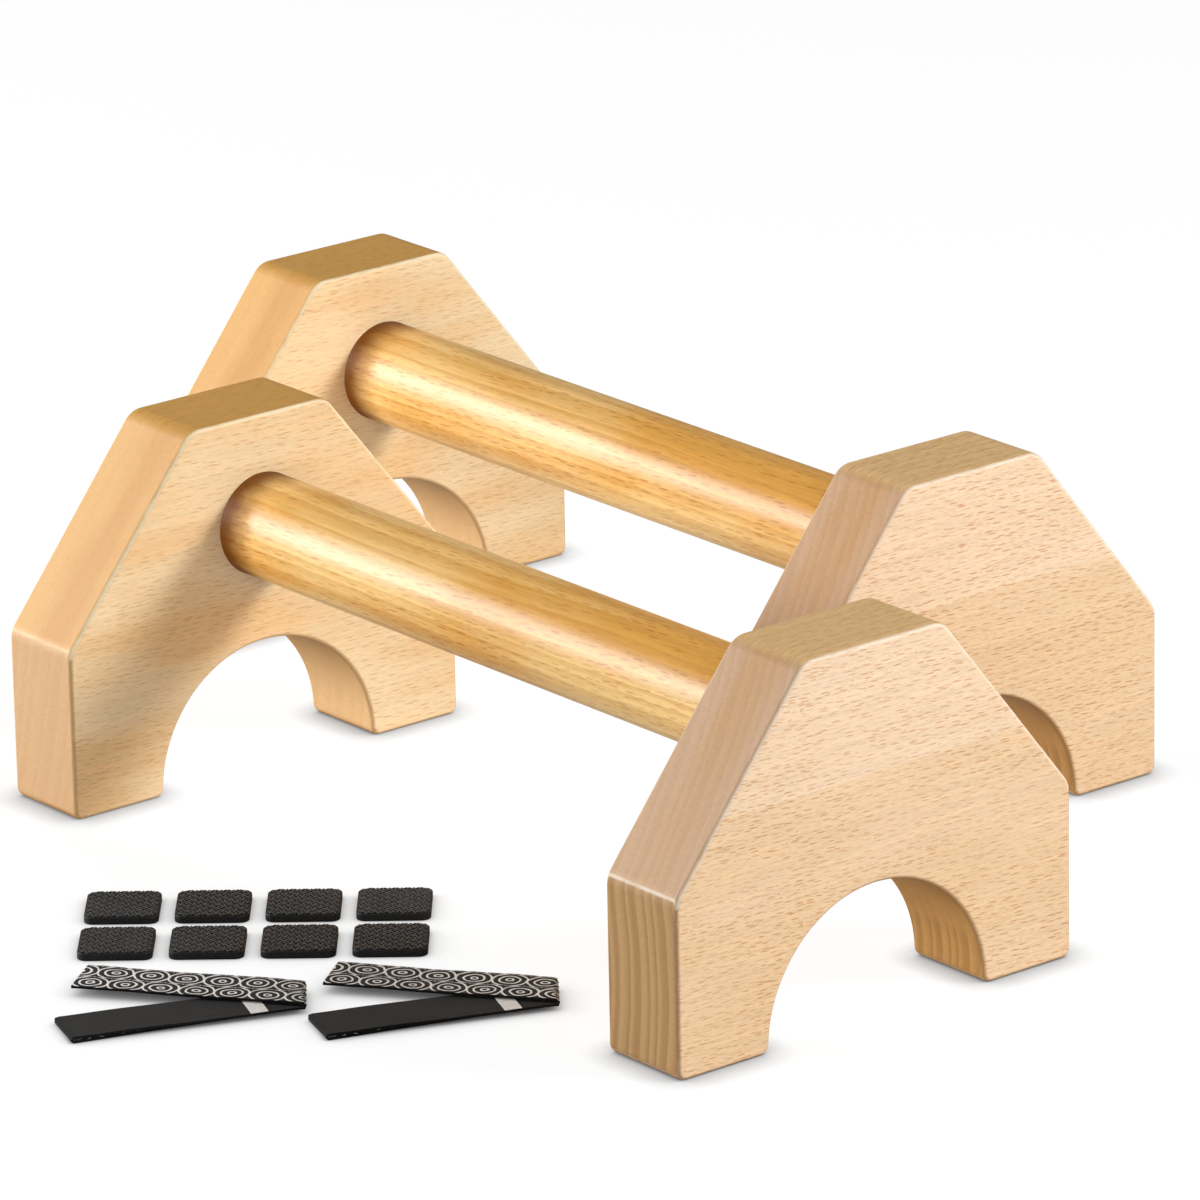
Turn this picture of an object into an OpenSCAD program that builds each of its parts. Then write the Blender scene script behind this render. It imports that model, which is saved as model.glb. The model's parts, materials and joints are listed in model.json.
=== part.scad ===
/* [Bar] */
// Diameter of the round beech bar
bar_d = 38; // [32:1:44]
// Clear grip length between the two blocks
grip_len = 300; // [240:5:400]
// Height of the bar's axis above the floor
bar_h = 93; // [88:1:100]
// Chamfer on each end of the bar
bar_end_chamfer = 1.5; // [0.5:0.5:3]

/* [End block] */
// Height of a block
block_h = 134; // [128:1:150]
// Width of a block at its feet, across the bar
block_w = 174; // [150:1:200]
// Thickness of a block, along the bar
block_t = 37; // [34:1:50]
// Height of the upright sides, up to the shoulders
shoulder_h = 63; // [50:1:80]
// Width of the flat top
top_w = 61; // [50:1:90]
// Radius of the arch between the feet
arch_r = 47.5; // [40:0.5:52]
// Height of the arch's centre above the floor
arch_rise = 1; // [0:0.5:4]
// Radius of the corners of the feet
corner_r = 3.5; // [2.5:0.5:6]
// Radius of the corners at the shoulders and the top
shoulder_r = 9; // [4:0.5:14]
// Radius of the rounded edges of the broad faces
edge_r = 1.8; // [1:0.1:2.4]

/* [Mortise and lock screw] */
// Depth of the blind mortise that holds the bar's end
mortise_depth = 25; // [18:1:28]
// Gap between the bar's end and the bottom of the mortise
mortise_end_gap = 1; // [0.5:0.5:2]
// Glue line all round the bar in its mortise
glue_line = 0.1; // [0.05:0.05:0.2]
// Diameter of the lock screw's shank
screw_d = 5; // [4:0.5:6]
// Diameter of the lock screw's core inside the bar
screw_core_d = 3.6; // [2.8:0.2:3.8]
// Diameter of the lock screw's countersunk head
screw_head_d = 9.6; // [8.4:0.2:12]
// Depth of the screw's head under the crown of the arch
screw_sink = 1; // [0.6:0.2:3]
// Length of the screw inside the bar
screw_bite = 16; // [12:1:22]
// Gap round the screw in its holes
screw_gap = 0.1; // [0.05:0.05:0.2]
// Key size of the hexagon socket in the screw's head
screw_key = 3; // [2.5:0.5:4]

/* [Pair] */
// Distance that the far parallette stands back
far_back = 146; // [0:1:400]
// Distance that the far parallette stands to the left
far_left = 116; // [0:1:200]

/* [Foot pads] */
// Side of a square pad
pad_side = 26; // [20:1:32]
// Thickness of a pad with its tread
pad_t = 3; // [2:0.2:5]
// Radius of a pad's corners
pad_corner_r = 3.4; // [2:0.2:6]
// Height of the tread's ribs and studs
tread_h = 0.4; // [0.3:0.1:1]
// Distance between the ribs of the tread
tread_pitch = 3; // [2.4:0.1:5]
// Width of a rib
rib_w = 0.7; // [0.3:0.05:0.8]
// Side of the stud in each diamond
stud_w = 1.3; // [0.6:0.1:1.4]
// Plain border round the tread
pad_border = 0.7; // [0.4:0.1:2]
// Gap between pads in a row
pad_gap = 5.5; // [2:0.5:20]
// Gap between the two rows of pads
pad_row_gap = 9; // [2:0.5:30]

/* [Grip tapes] */
// Width of a tape
tape_w = 20; // [15:1:24]
// Thickness of a tape
tape_t = 1; // [0.6:0.1:1.4]
// Gap between the folded layers
tape_layer_gap = 0.5; // [0.4:0.1:1]
// Length of the top layer, from its free end to the fold
tape_top_len = 79; // [60:1:140]
// Length of the middle layer, from fold to fold
tape_middle_len = 83; // [60:1:140]
// Length of the bottom layer, from the fold to its free end
tape_bottom_len = 74; // [50:1:130]
// Slope of the top layer, falling to the right
tape_top_slope = 13; // [8:1:20]
// Slope of the middle layer, rising to the right
tape_middle_slope = 18; // [12:1:24]
// Slope of the bottom layer, rising to the right
tape_bottom_slope = 22; // [20:1:26]
// Width of the paper tab along the tape
tab_w = 6; // [4:0.5:10]
// Thickness of the paper tab
tab_t = 0.3; // [0.2:0.05:0.35]
// Distance of the tab from the fold
tab_from_fold = 15; // [10:1:30]
// Gap between the two tapes
tape_gap = 5; // [2:1:40]
// Gap between the pads and the tapes
tape_row_gap = 14; // [4:1:40]

/* [Place of the kit] */
// Place of the first pad's corner, to the left of the near parallette's middle
kit_left = 84; // [60:1:120]
// Place of the first pad's corner, in front of the near parallette's middle
kit_front = 130; // [120:1:200]
// Turn of the rows against the bars
kit_turn = 50; // [30:1:60]

/* [Hidden] */

// A cut runs this far past the face that it opens
past = 1;
// A rounded edge crosses its flat face by this much, so the two meet in a clean line
blend = 0.03;
round_fn = 96;
post_fn = 32;
hole_fn = 48;

// Block
half_grip = grip_len / 2;
crown_h = arch_rise + arch_r;
bar_r = bar_d / 2;
outline = [
    [-block_w / 2, 0], [block_w / 2, 0], [block_w / 2, shoulder_h],
    [top_w / 2, block_h], [-top_w / 2, block_h], [-block_w / 2, shoulder_h]
];

// Lock screw
screw_x = half_grip + mortise_depth / 2;
head_z = crown_h + screw_sink;
head_h = (screw_head_d - screw_d) / 2;
screw_tip_z = bar_h - bar_r + screw_bite;

// Pads
pad_cols = 4;
pad_rows = 2;
tread_side = pad_side - 2 * pad_border;
rib_count = floor(tread_side / sqrt(2) / tread_pitch);

// Tapes
fold_steps = 8;
layer_step = tape_t + tape_layer_gap;
fold_r = layer_step / 2;
bottom_z = tape_t / 2;
middle_z = bottom_z + layer_step;
top_z = middle_z + layer_step;
top_way = heading(-tape_top_slope);
middle_way = heading(180 + tape_middle_slope);
bottom_way = heading(tape_bottom_slope);
top_start = [0, 0];
right_fold = top_start + top_way * tape_top_len;
left_fold = right_fold + middle_way * tape_middle_len;
bottom_end = left_fold + bottom_way * tape_bottom_len;
tape_reach = right_fold.x - left_fold.x + 2 * fold_r;
pads_deep = pad_rows * pad_side + (pad_rows - 1) * pad_row_gap;
tape_x = fold_r - left_fold.x;
tape_y = -pads_deep - tape_row_gap - tape_w / 2;

function unit(v) = v / norm(v);
function heading(a) = [cos(a), sin(a)];
function left_of(v) = [-v.y, v.x];

// Radius of one corner of the outline: the feet's stand on the floor
function rounding(i) = outline[i].y > 0 ? shoulder_r : corner_r;

// Centre of the rounding of one corner of the outline
function rounding_centre(i) =
    let (
        n = len(outline),
        p = outline[i],
        a = unit(outline[(i + n - 1) % n] - p),
        b = unit(outline[(i + 1) % n] - p),
        half_angle = acos(a * b) / 2
    )
    p + unit(a + b) * rounding(i) / sin(half_angle);

// A point of the kit, seen in the frame of the near parallette
function kit_point(p) =
    [
        -kit_left + p.x * cos(kit_turn) - p.y * sin(kit_turn),
        -kit_front + p.x * sin(kit_turn) + p.y * cos(kit_turn)
    ];
function pad_centre(i) =
    [
        pad_side / 2 + (i % pad_cols) * (pad_side + pad_gap),
        -pad_side / 2 - floor(i / pad_cols) * (pad_side + pad_row_gap)
    ];
function tape_place(i) = [tape_x + i * (tape_reach + tape_gap), tape_y];
function lowest_pad_y() =
    min([
        for (i = [0 : pad_cols * pad_rows - 1], sx = [-1, 1], sy = [-1, 1])
            kit_point(pad_centre(i) + [sx, sy] * (pad_side / 2 - pad_corner_r)).y - pad_corner_r
    ]);
function lowest_tape_y() = min([for (p = tape_points) kit_point([p.x, p.y] + tape_place(0)).y]);

// Where the tape's two long edges cross a line through q
function across(q, way, line, side) = q + line * (side * tape_w / 2 / (line * left_of(way)));

// A ring of four corners round the tape: both edges, printed face first
function ring(left, right, z, face) =
    [
        for (corner = [[left, 1], [right, 1], [right, -1], [left, -1]])
            [corner[0].x, corner[0].y, z] + face * corner[1] * tape_t / 2
    ];

// The rings of a fold, from the layer above to the layer below
function fold_rings(q, way_in, way_out, side, z, printed_out) =
    let (crease = unit(way_in + way_out), out = unit(way_in - way_out))
    [
        for (k = [0 : fold_steps])
            let (
                a = 90 - 180 * k / fold_steps,
                face = [out.x * cos(a), out.y * cos(a), sin(a)],
                shift = out * fold_r * cos(a)
            )
            each ring(
                across(q, way_in, crease, side) + shift,
                across(q, way_in, crease, -side) + shift,
                z + fold_r * sin(a),
                face * printed_out
            )
    ];
function end_ring(q, way, z) =
    ring(across(q, way, left_of(way), 1), across(q, way, left_of(way), -1), z, [0, 0, 1]);
tape_points = concat(
    end_ring(top_start, top_way, top_z),
    fold_rings(right_fold, top_way, middle_way, 1, (top_z + middle_z) / 2, 1),
    fold_rings(left_fold, middle_way, bottom_way, -1, (middle_z + bottom_z) / 2, -1),
    end_ring(bottom_end, bottom_way, bottom_z)
);
tape_faces = concat(
    [[0, 1, 2], [0, 2, 3]],
    [
        for (k = [0 : len(tape_points) / 4 - 2], j = [0 : 3])
            let (a = 4 * k + j, b = 4 * k + (j + 1) % 4)
            each [[a, a + 4, b + 4], [a, b + 4, b]]
    ],
    [
        let (n = len(tape_points))
        each [[n - 4, n - 2, n - 3], [n - 4, n - 1, n - 2]]
    ]
);

// Middle of everything that stands or lies on the floor
half_len = half_grip + block_t;
low_x = -half_len - far_left;
high_x = half_len;
high_y = far_back + block_w / 2;
low_y = min(-block_w / 2, lowest_pad_y(), lowest_tape_y());
middle = [(low_x + high_x) / 2, (low_y + high_y) / 2];

// Six rounded posts, wrapped into one board with soft edges
module board() {
    hull()
        for (i = [0 : len(outline) - 1])
            let (c = rounding_centre(i))
            translate([0, c.x, c.y])
                rotate([0, 90, 0])
                    corner_post(rounding(i));
}

module corner_post(r) {
    rotate_extrude($fn = post_fn)
        intersection() {
            square([r, block_t]);
            union() {
                translate([0, edge_r])
                    square([r, block_t - 2 * edge_r]);
                square([r - edge_r, block_t]);
                for (z = [edge_r, block_t - edge_r])
                    translate([r - edge_r, z])
                        circle(r = edge_r, $fn = post_fn);
            }
        }
}

// Profile of the arch: half round, with the feet's inner corners rounded
module arch_profile() {
    reach = arch_r + corner_r - blend;
    lift = corner_r - blend;
    foot_y = sqrt(reach * reach - pow(lift - arch_rise, 2));
    translate([0, arch_rise])
        circle(r = arch_r, $fn = round_fn);
    translate([-arch_r, -past])
        square([2 * arch_r, arch_rise + past]);
    for (side = [-1, 1])
        difference() {
            polygon([
                [side * (arch_r - corner_r), -past],
                [side * foot_y, -past],
                [side * foot_y, lift],
                [side * (arch_r - corner_r), lift]
            ]);
            translate([side * foot_y, lift])
                circle(r = corner_r, $fn = round_fn);
        }
}

// Ring that rounds the edge between the arch and a broad face
module arch_edge() {
    rotate_extrude($fn = round_fn)
        difference() {
            translate([arch_r - corner_r, -past])
                square([corner_r + edge_r - blend, edge_r + past - blend]);
            translate([arch_r + edge_r - blend, edge_r - blend])
                circle(r = edge_r, $fn = post_fn);
        }
}

module arch() {
    translate([-past, 0, 0])
        rotate([90, 0, 90])
            linear_extrude(height = block_t + 2 * past)
                arch_profile();
    translate([0, 0, arch_rise])
        rotate([0, 90, 0])
            arch_edge();
    translate([block_t, 0, arch_rise])
        rotate([0, -90, 0])
            arch_edge();
}

// Stepped hole for the lock screw, from the arch into the mortise
module screw_hole() {
    head_hole_r = screw_head_d / 2 + screw_gap;
    shank_hole_r = screw_d / 2 + screw_gap;
    translate([screw_x - half_grip, 0, 0]) {
        translate([0, 0, crown_h - past])
            cylinder(r = head_hole_r, h = screw_sink + past, $fn = hole_fn);
        translate([0, 0, head_z])
            cylinder(r1 = head_hole_r, r2 = shank_hole_r, h = head_h, $fn = hole_fn);
        translate([0, 0, head_z])
            cylinder(r = shank_hole_r, h = bar_h - head_z, $fn = hole_fn);
    }
}

// One block: inner face at x = 0, outer face at x = block_t
module block() {
    color("burlywood")
        difference() {
            board();
            arch();
            translate([-past, 0, bar_h])
                rotate([0, 90, 0])
                    cylinder(r = bar_r + glue_line, h = mortise_depth + past, $fn = round_fn);
            screw_hole();
        }
}

module bar() {
    reach = half_grip + mortise_depth - mortise_end_gap;
    color("peru")
        difference() {
            translate([-reach, 0, bar_h])
                rotate([0, 90, 0]) {
                    cylinder(r1 = bar_r - bar_end_chamfer, r2 = bar_r, h = bar_end_chamfer, $fn = round_fn);
                    translate([0, 0, bar_end_chamfer])
                        cylinder(r = bar_r, h = 2 * (reach - bar_end_chamfer), $fn = round_fn);
                    translate([0, 0, 2 * reach - bar_end_chamfer])
                        cylinder(r1 = bar_r, r2 = bar_r - bar_end_chamfer, h = bar_end_chamfer, $fn = round_fn);
                }
            for (side = [-1, 1])
                translate([side * screw_x, 0, bar_h - bar_r - past])
                    cylinder(r = screw_core_d / 2 + screw_gap, h = screw_bite + past + screw_gap, $fn = hole_fn);
        }
}

// Countersunk screw, pointing up
module lock_screw() {
    tip_h = screw_core_d;
    socket_h = head_h * 0.8;
    shank_top = bar_h - bar_r - glue_line;
    color("silver")
        difference() {
            union() {
                translate([0, 0, head_z])
                    cylinder(d1 = screw_head_d, d2 = screw_d, h = head_h, $fn = hole_fn);
                translate([0, 0, head_z])
                    cylinder(d = screw_d, h = shank_top - head_z, $fn = hole_fn);
                translate([0, 0, head_z])
                    cylinder(d = screw_core_d, h = screw_tip_z - tip_h - head_z, $fn = hole_fn);
                translate([0, 0, screw_tip_z - tip_h])
                    cylinder(d1 = screw_core_d, d2 = screw_core_d / 4, h = tip_h, $fn = hole_fn);
            }
            translate([0, 0, head_z - past])
                cylinder(d = screw_key / cos(30), h = socket_h + past, $fn = 6);
        }
}

module pad_outline(side, corner) {
    inner = side - 2 * corner;
    square([side, inner], center = true);
    square([inner, side], center = true);
    for (sx = [-1, 1], sy = [-1, 1])
        translate([sx, sy] * inner / 2)
            circle(r = corner, $fn = hole_fn);
}

// Crossed ribs with a stud in each diamond
module tread() {
    long = tread_side * sqrt(2);
    intersection() {
        pad_outline(tread_side, pad_corner_r - pad_border);
        rotate(45) {
            for (k = [-rib_count : rib_count]) {
                translate([(k * tread_pitch), 0])
                    square([rib_w, long], center = true);
                translate([0, k * tread_pitch])
                    square([long, rib_w], center = true);
            }
            for (i = [-rib_count : rib_count - 1], j = [-rib_count : rib_count - 1])
                translate([i + 0.5, j + 0.5] * tread_pitch)
                    square(stud_w, center = true);
        }
    }
}

module foot_pad() {
    color("dimgray") {
        linear_extrude(height = pad_t - tread_h)
            pad_outline(pad_side, pad_corner_r);
        translate([0, 0, pad_t - tread_h])
            linear_extrude(height = tread_h)
                tread();
    }
}

module grip_tape() {
    color("black")
        polyhedron(points = tape_points, faces = tape_faces);
}

// White paper tab, stuck across the plain side of the middle layer
module tape_tab() {
    start = right_fold + middle_way * tab_from_fold;
    color("white")
        translate([start.x, start.y, middle_z + tape_t / 2])
            rotate([0, 0, tape_middle_slope])
                translate([-tab_w, -tape_w / 2, 0])
                    cube([tab_w, tape_w, tab_t]);
}

module on_floor() {
    translate([-middle.x, -middle.y, 0])
        children();
}

module near_set() {
    on_floor()
        children();
}

module far_set() {
    on_floor()
        translate([-far_left, far_back, 0])
            children();
}

module right_end() {
    translate([half_grip, 0, 0])
        children();
}

module left_end() {
    rotate([0, 0, 180])
        right_end()
            children();
}

module kit() {
    on_floor()
        translate([-kit_left, -kit_front, 0])
            rotate([0, 0, kit_turn])
                children();
}

module kit_pad(i) {
    kit()
        translate(pad_centre(i - 1))
            foot_pad();
}

near_set() left_end() block();  // near_left_block
near_set() right_end() block();  // near_right_block
near_set() bar();  // near_bar
near_set() translate([-screw_x, 0, 0]) lock_screw();  // near_left_screw
near_set() translate([screw_x, 0, 0]) lock_screw();  // near_right_screw
far_set() left_end() block();  // far_left_block
far_set() right_end() block();  // far_right_block
far_set() bar();  // far_bar
far_set() translate([-screw_x, 0, 0]) lock_screw();  // far_left_screw
far_set() translate([screw_x, 0, 0]) lock_screw();  // far_right_screw
kit_pad(1);  // foot_pad_1
kit_pad(2);  // foot_pad_2
kit_pad(3);  // foot_pad_3
kit_pad(4);  // foot_pad_4
kit_pad(5);  // foot_pad_5
kit_pad(6);  // foot_pad_6
kit_pad(7);  // foot_pad_7
kit_pad(8);  // foot_pad_8
kit() translate(tape_place(0)) grip_tape();  // left_grip_tape
kit() translate(tape_place(1)) grip_tape();  // right_grip_tape
kit() translate(tape_place(0)) tape_tab();  // left_tape_tab
kit() translate(tape_place(1)) tape_tab();  // right_tape_tab
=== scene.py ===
"""Dress a pair of low beech parallettes, their eight foot pads and their two folded grip tapes.

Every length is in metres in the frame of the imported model, unless a name says millimetres (mm).
"""

import json
import logging
import math
from collections.abc import Callable, Sequence
from dataclasses import dataclass, field, replace
from enum import Enum

import bpy
from mathutils import Matrix, Vector

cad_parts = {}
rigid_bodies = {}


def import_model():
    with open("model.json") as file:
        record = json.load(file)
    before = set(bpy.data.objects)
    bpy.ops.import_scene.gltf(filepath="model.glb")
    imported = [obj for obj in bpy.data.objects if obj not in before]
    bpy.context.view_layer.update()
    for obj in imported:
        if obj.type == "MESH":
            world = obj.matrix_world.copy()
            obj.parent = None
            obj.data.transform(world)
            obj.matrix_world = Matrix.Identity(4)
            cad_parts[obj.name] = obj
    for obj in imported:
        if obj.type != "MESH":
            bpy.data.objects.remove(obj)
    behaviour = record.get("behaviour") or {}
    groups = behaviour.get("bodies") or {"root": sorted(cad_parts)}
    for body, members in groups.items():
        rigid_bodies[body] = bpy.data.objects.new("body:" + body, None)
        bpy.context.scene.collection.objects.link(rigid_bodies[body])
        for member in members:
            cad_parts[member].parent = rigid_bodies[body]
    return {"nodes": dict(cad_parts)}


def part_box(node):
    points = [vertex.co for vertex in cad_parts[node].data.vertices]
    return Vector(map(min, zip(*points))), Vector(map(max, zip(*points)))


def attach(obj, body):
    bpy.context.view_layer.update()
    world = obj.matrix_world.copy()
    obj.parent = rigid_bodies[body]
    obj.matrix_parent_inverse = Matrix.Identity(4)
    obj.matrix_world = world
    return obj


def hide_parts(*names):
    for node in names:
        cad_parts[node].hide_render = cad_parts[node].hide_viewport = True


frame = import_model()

Colour = tuple[int, int, int]
Point = tuple[float, float, float]
Material = bpy.types.Material
Object = bpy.types.Object
Socket = bpy.types.NodeSocket

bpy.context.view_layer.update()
LOG = logging.getLogger("parallettes")
MM = 0.001
TINY = 1e-5
UPWARD = 0.9
ORIGIN: Point = (0.0, 0.0, 0.0)
BLACK: Colour = (0, 0, 0)
ROWS_TURN = math.radians(50)  # how far the rows of loose kit are turned from the X axis


def linear(colour: Colour) -> tuple[float, float, float, float]:
    """Turn a screen colour into the linear colour that a shader takes.

    Args:
        colour: Red, green and blue from 0 to 255.

    Returns:
        Linear red, green, blue and an alpha of 1.
    """
    shares = [part / 255 for part in colour]
    red, green, blue = (
        share / 12.92 if share <= 0.04045 else ((share + 0.055) / 1.055) ** 2.4 for share in shares
    )
    return red, green, blue, 1.0


class Bench:
    """The workbench: makes plain shapes, works on one piece at a time and puts it down."""

    @staticmethod
    def clear() -> None:
        """Leave edit mode and let go of every object."""
        if bpy.context.object is not None and bpy.context.object.mode != "OBJECT":
            bpy.ops.object.mode_set(mode="OBJECT")
        bpy.ops.object.select_all(action="DESELECT")

    @staticmethod
    def take(piece: Object) -> None:
        """Let go of everything else and make one piece the active one.

        Args:
            piece: The piece to work on.
        """
        Bench.clear()
        piece.select_set(True)
        bpy.context.view_layer.objects.active = piece

    @staticmethod
    def settle(piece: Object, scale: Point = (1.0, 1.0, 1.0)) -> Object:
        """Scale a piece, and write its place, turn and scale into its mesh.

        Args:
            piece: The piece, whose object then sits at the origin.
            scale: The scale along each axis.

        Returns:
            The piece.
        """
        piece.scale = scale
        Bench.take(piece)
        bpy.ops.object.transform_apply(location=True, rotation=True, scale=True)
        return piece

    @staticmethod
    def box(size: Point, middle: Point) -> Object:
        """Make a box.

        Args:
            size: Its length along each axis.
            middle: Its middle.

        Returns:
            The box.
        """
        Bench.clear()
        bpy.ops.mesh.primitive_cube_add(size=1, location=middle)
        return Bench.settle(bpy.context.object, size)

    @staticmethod
    def cylinder(corners: int, radius: float, depth: float, middle: Point, lying: bool) -> Object:
        """Make a cylinder.

        Args:
            corners: The number of its sides.
            radius: Its radius.
            depth: Its length.
            middle: Its middle.
            lying: Whether it lies along X rather than standing.

        Returns:
            The cylinder.
        """
        Bench.clear()
        bpy.ops.mesh.primitive_cylinder_add(
            vertices=corners, radius=radius, depth=depth, location=middle,
            rotation=(0, math.pi / 2 if lying else 0, 0),
        )
        return bpy.context.object

    @staticmethod
    def pick(piece: Object, kind: str, wanted: Callable[[Vector, Vector], bool]) -> None:
        """Enter edit mode with only the wanted edges or faces selected.

        Args:
            piece: The piece that is looked at.
            kind: EDGE or FACE.
            wanted: Says whether an edge, from its two ends, or a face, from its centre and normal,
                is selected.
        """
        Bench.take(piece)
        mesh = piece.data
        for parts in (mesh.vertices, mesh.edges, mesh.polygons):
            parts.foreach_set("select", [False] * len(parts))
        for part in mesh.edges if kind == "EDGE" else mesh.polygons:
            corners = [mesh.vertices[index] for index in part.vertices]
            ends = (corners[0].co, corners[1].co) if kind == "EDGE" else (part.center, part.normal)
            if wanted(*ends):
                part.select = True
                for corner in corners:
                    corner.select = True
        bpy.ops.object.mode_set(mode="EDIT")
        bpy.ops.mesh.select_mode(type=kind)

    @staticmethod
    def pick_at(piece: Object, axis: int, *places: float) -> None:
        """Pick the edges that lie in planes which cut an axis, 0 to 2, at the given places."""
        Bench.pick(piece, "EDGE", lambda a, b: any(
            abs(a[axis] - place) < TINY and abs(b[axis] - place) < TINY for place in places
        ))

    @staticmethod
    def pick_top(piece: Object) -> None:
        """Enter edit mode with only the faces that look up selected."""
        Bench.pick(piece, "FACE", lambda centre, normal: normal.z > UPWARD)

    @staticmethod
    def push(x: float, y: float, z: float) -> None:
        """Extrude what is picked along a way, given by its length along each axis."""
        bpy.ops.mesh.extrude_region_move(TRANSFORM_OT_translate={"value": (x, y, z)})

    @staticmethod
    def bevel(width: float, segments: int) -> None:
        """Round the picked edges by a width, in so many faces, and leave edit mode."""
        bpy.ops.mesh.bevel(offset=width, offset_type="OFFSET", segments=segments, affect="EDGES")
        bpy.ops.object.mode_set(mode="OBJECT")

    @staticmethod
    def close(piece: Object) -> None:
        """Merge doubled points, turn all faces outwards and leave edit mode.

        Args:
            piece: The piece to tidy.
        """
        Bench.take(piece)
        bpy.ops.object.mode_set(mode="EDIT")
        bpy.ops.mesh.select_all(action="SELECT")
        bpy.ops.mesh.remove_doubles(threshold=TINY)
        bpy.ops.mesh.normals_make_consistent(inside=False)
        bpy.ops.object.mode_set(mode="OBJECT")

    @staticmethod
    def apply(piece: Object, kind: str, **settings: object) -> None:
        """Add a modifier to a piece and apply it.

        Args:
            piece: The piece.
            kind: The modifier's type.
            **settings: Its fields.
        """
        Bench.take(piece)
        modifier = piece.modifiers.new("step", kind)
        for key, value in settings.items():
            setattr(modifier, key, value)
        bpy.ops.object.modifier_apply(modifier=modifier.name)

    @staticmethod
    def carve(piece: Object, tool: Object, how: str = "DIFFERENCE") -> None:
        """Cut, keep or add a tool's volume, and throw the tool away.

        Args:
            piece: The piece that is cut.
            tool: The closed solid that cuts it.
            how: The boolean modifier's operation.
        """
        union = how == "UNION"
        Bench.apply(piece, "BOOLEAN", operation=how, object=tool, solver="EXACT", use_self=union)
        bpy.data.objects.remove(tool)

    @staticmethod
    def smooth(piece: Object, angle: float) -> None:
        """Shade a piece smoothly, with flat faces kept flat beside their rounded edges.

        Args:
            piece: The piece to shade.
            angle: The bend in degrees above which an edge stays sharp.
        """
        Bench.take(piece)
        bpy.ops.object.shade_smooth_by_angle(angle=math.radians(angle))
        Bench.apply(piece, "WEIGHTED_NORMAL", keep_sharp=True)

    @staticmethod
    def hand_in(
        piece: Object, name: str, slot: str, node: str, material: Material | None = None
    ) -> None:
        """Name a finished piece, dress it and let it stand for its CAD node.

        Args:
            piece: The finished piece.
            name: The piece's name.
            slot: The record's material slot; not used.
            node: The CAD node that it replaces.
            material: The finish that it gets, unless it has its own already.
        """
        piece.name = name
        if material is not None:
            piece.data.name = name
            piece.data.materials.clear()
            piece.data.materials.append(material)
        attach(piece, "root")
        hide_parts(node)
        LOG.info("%s: %d faces, %s", name, len(piece.data.polygons), piece.data.materials[0].name)


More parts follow.
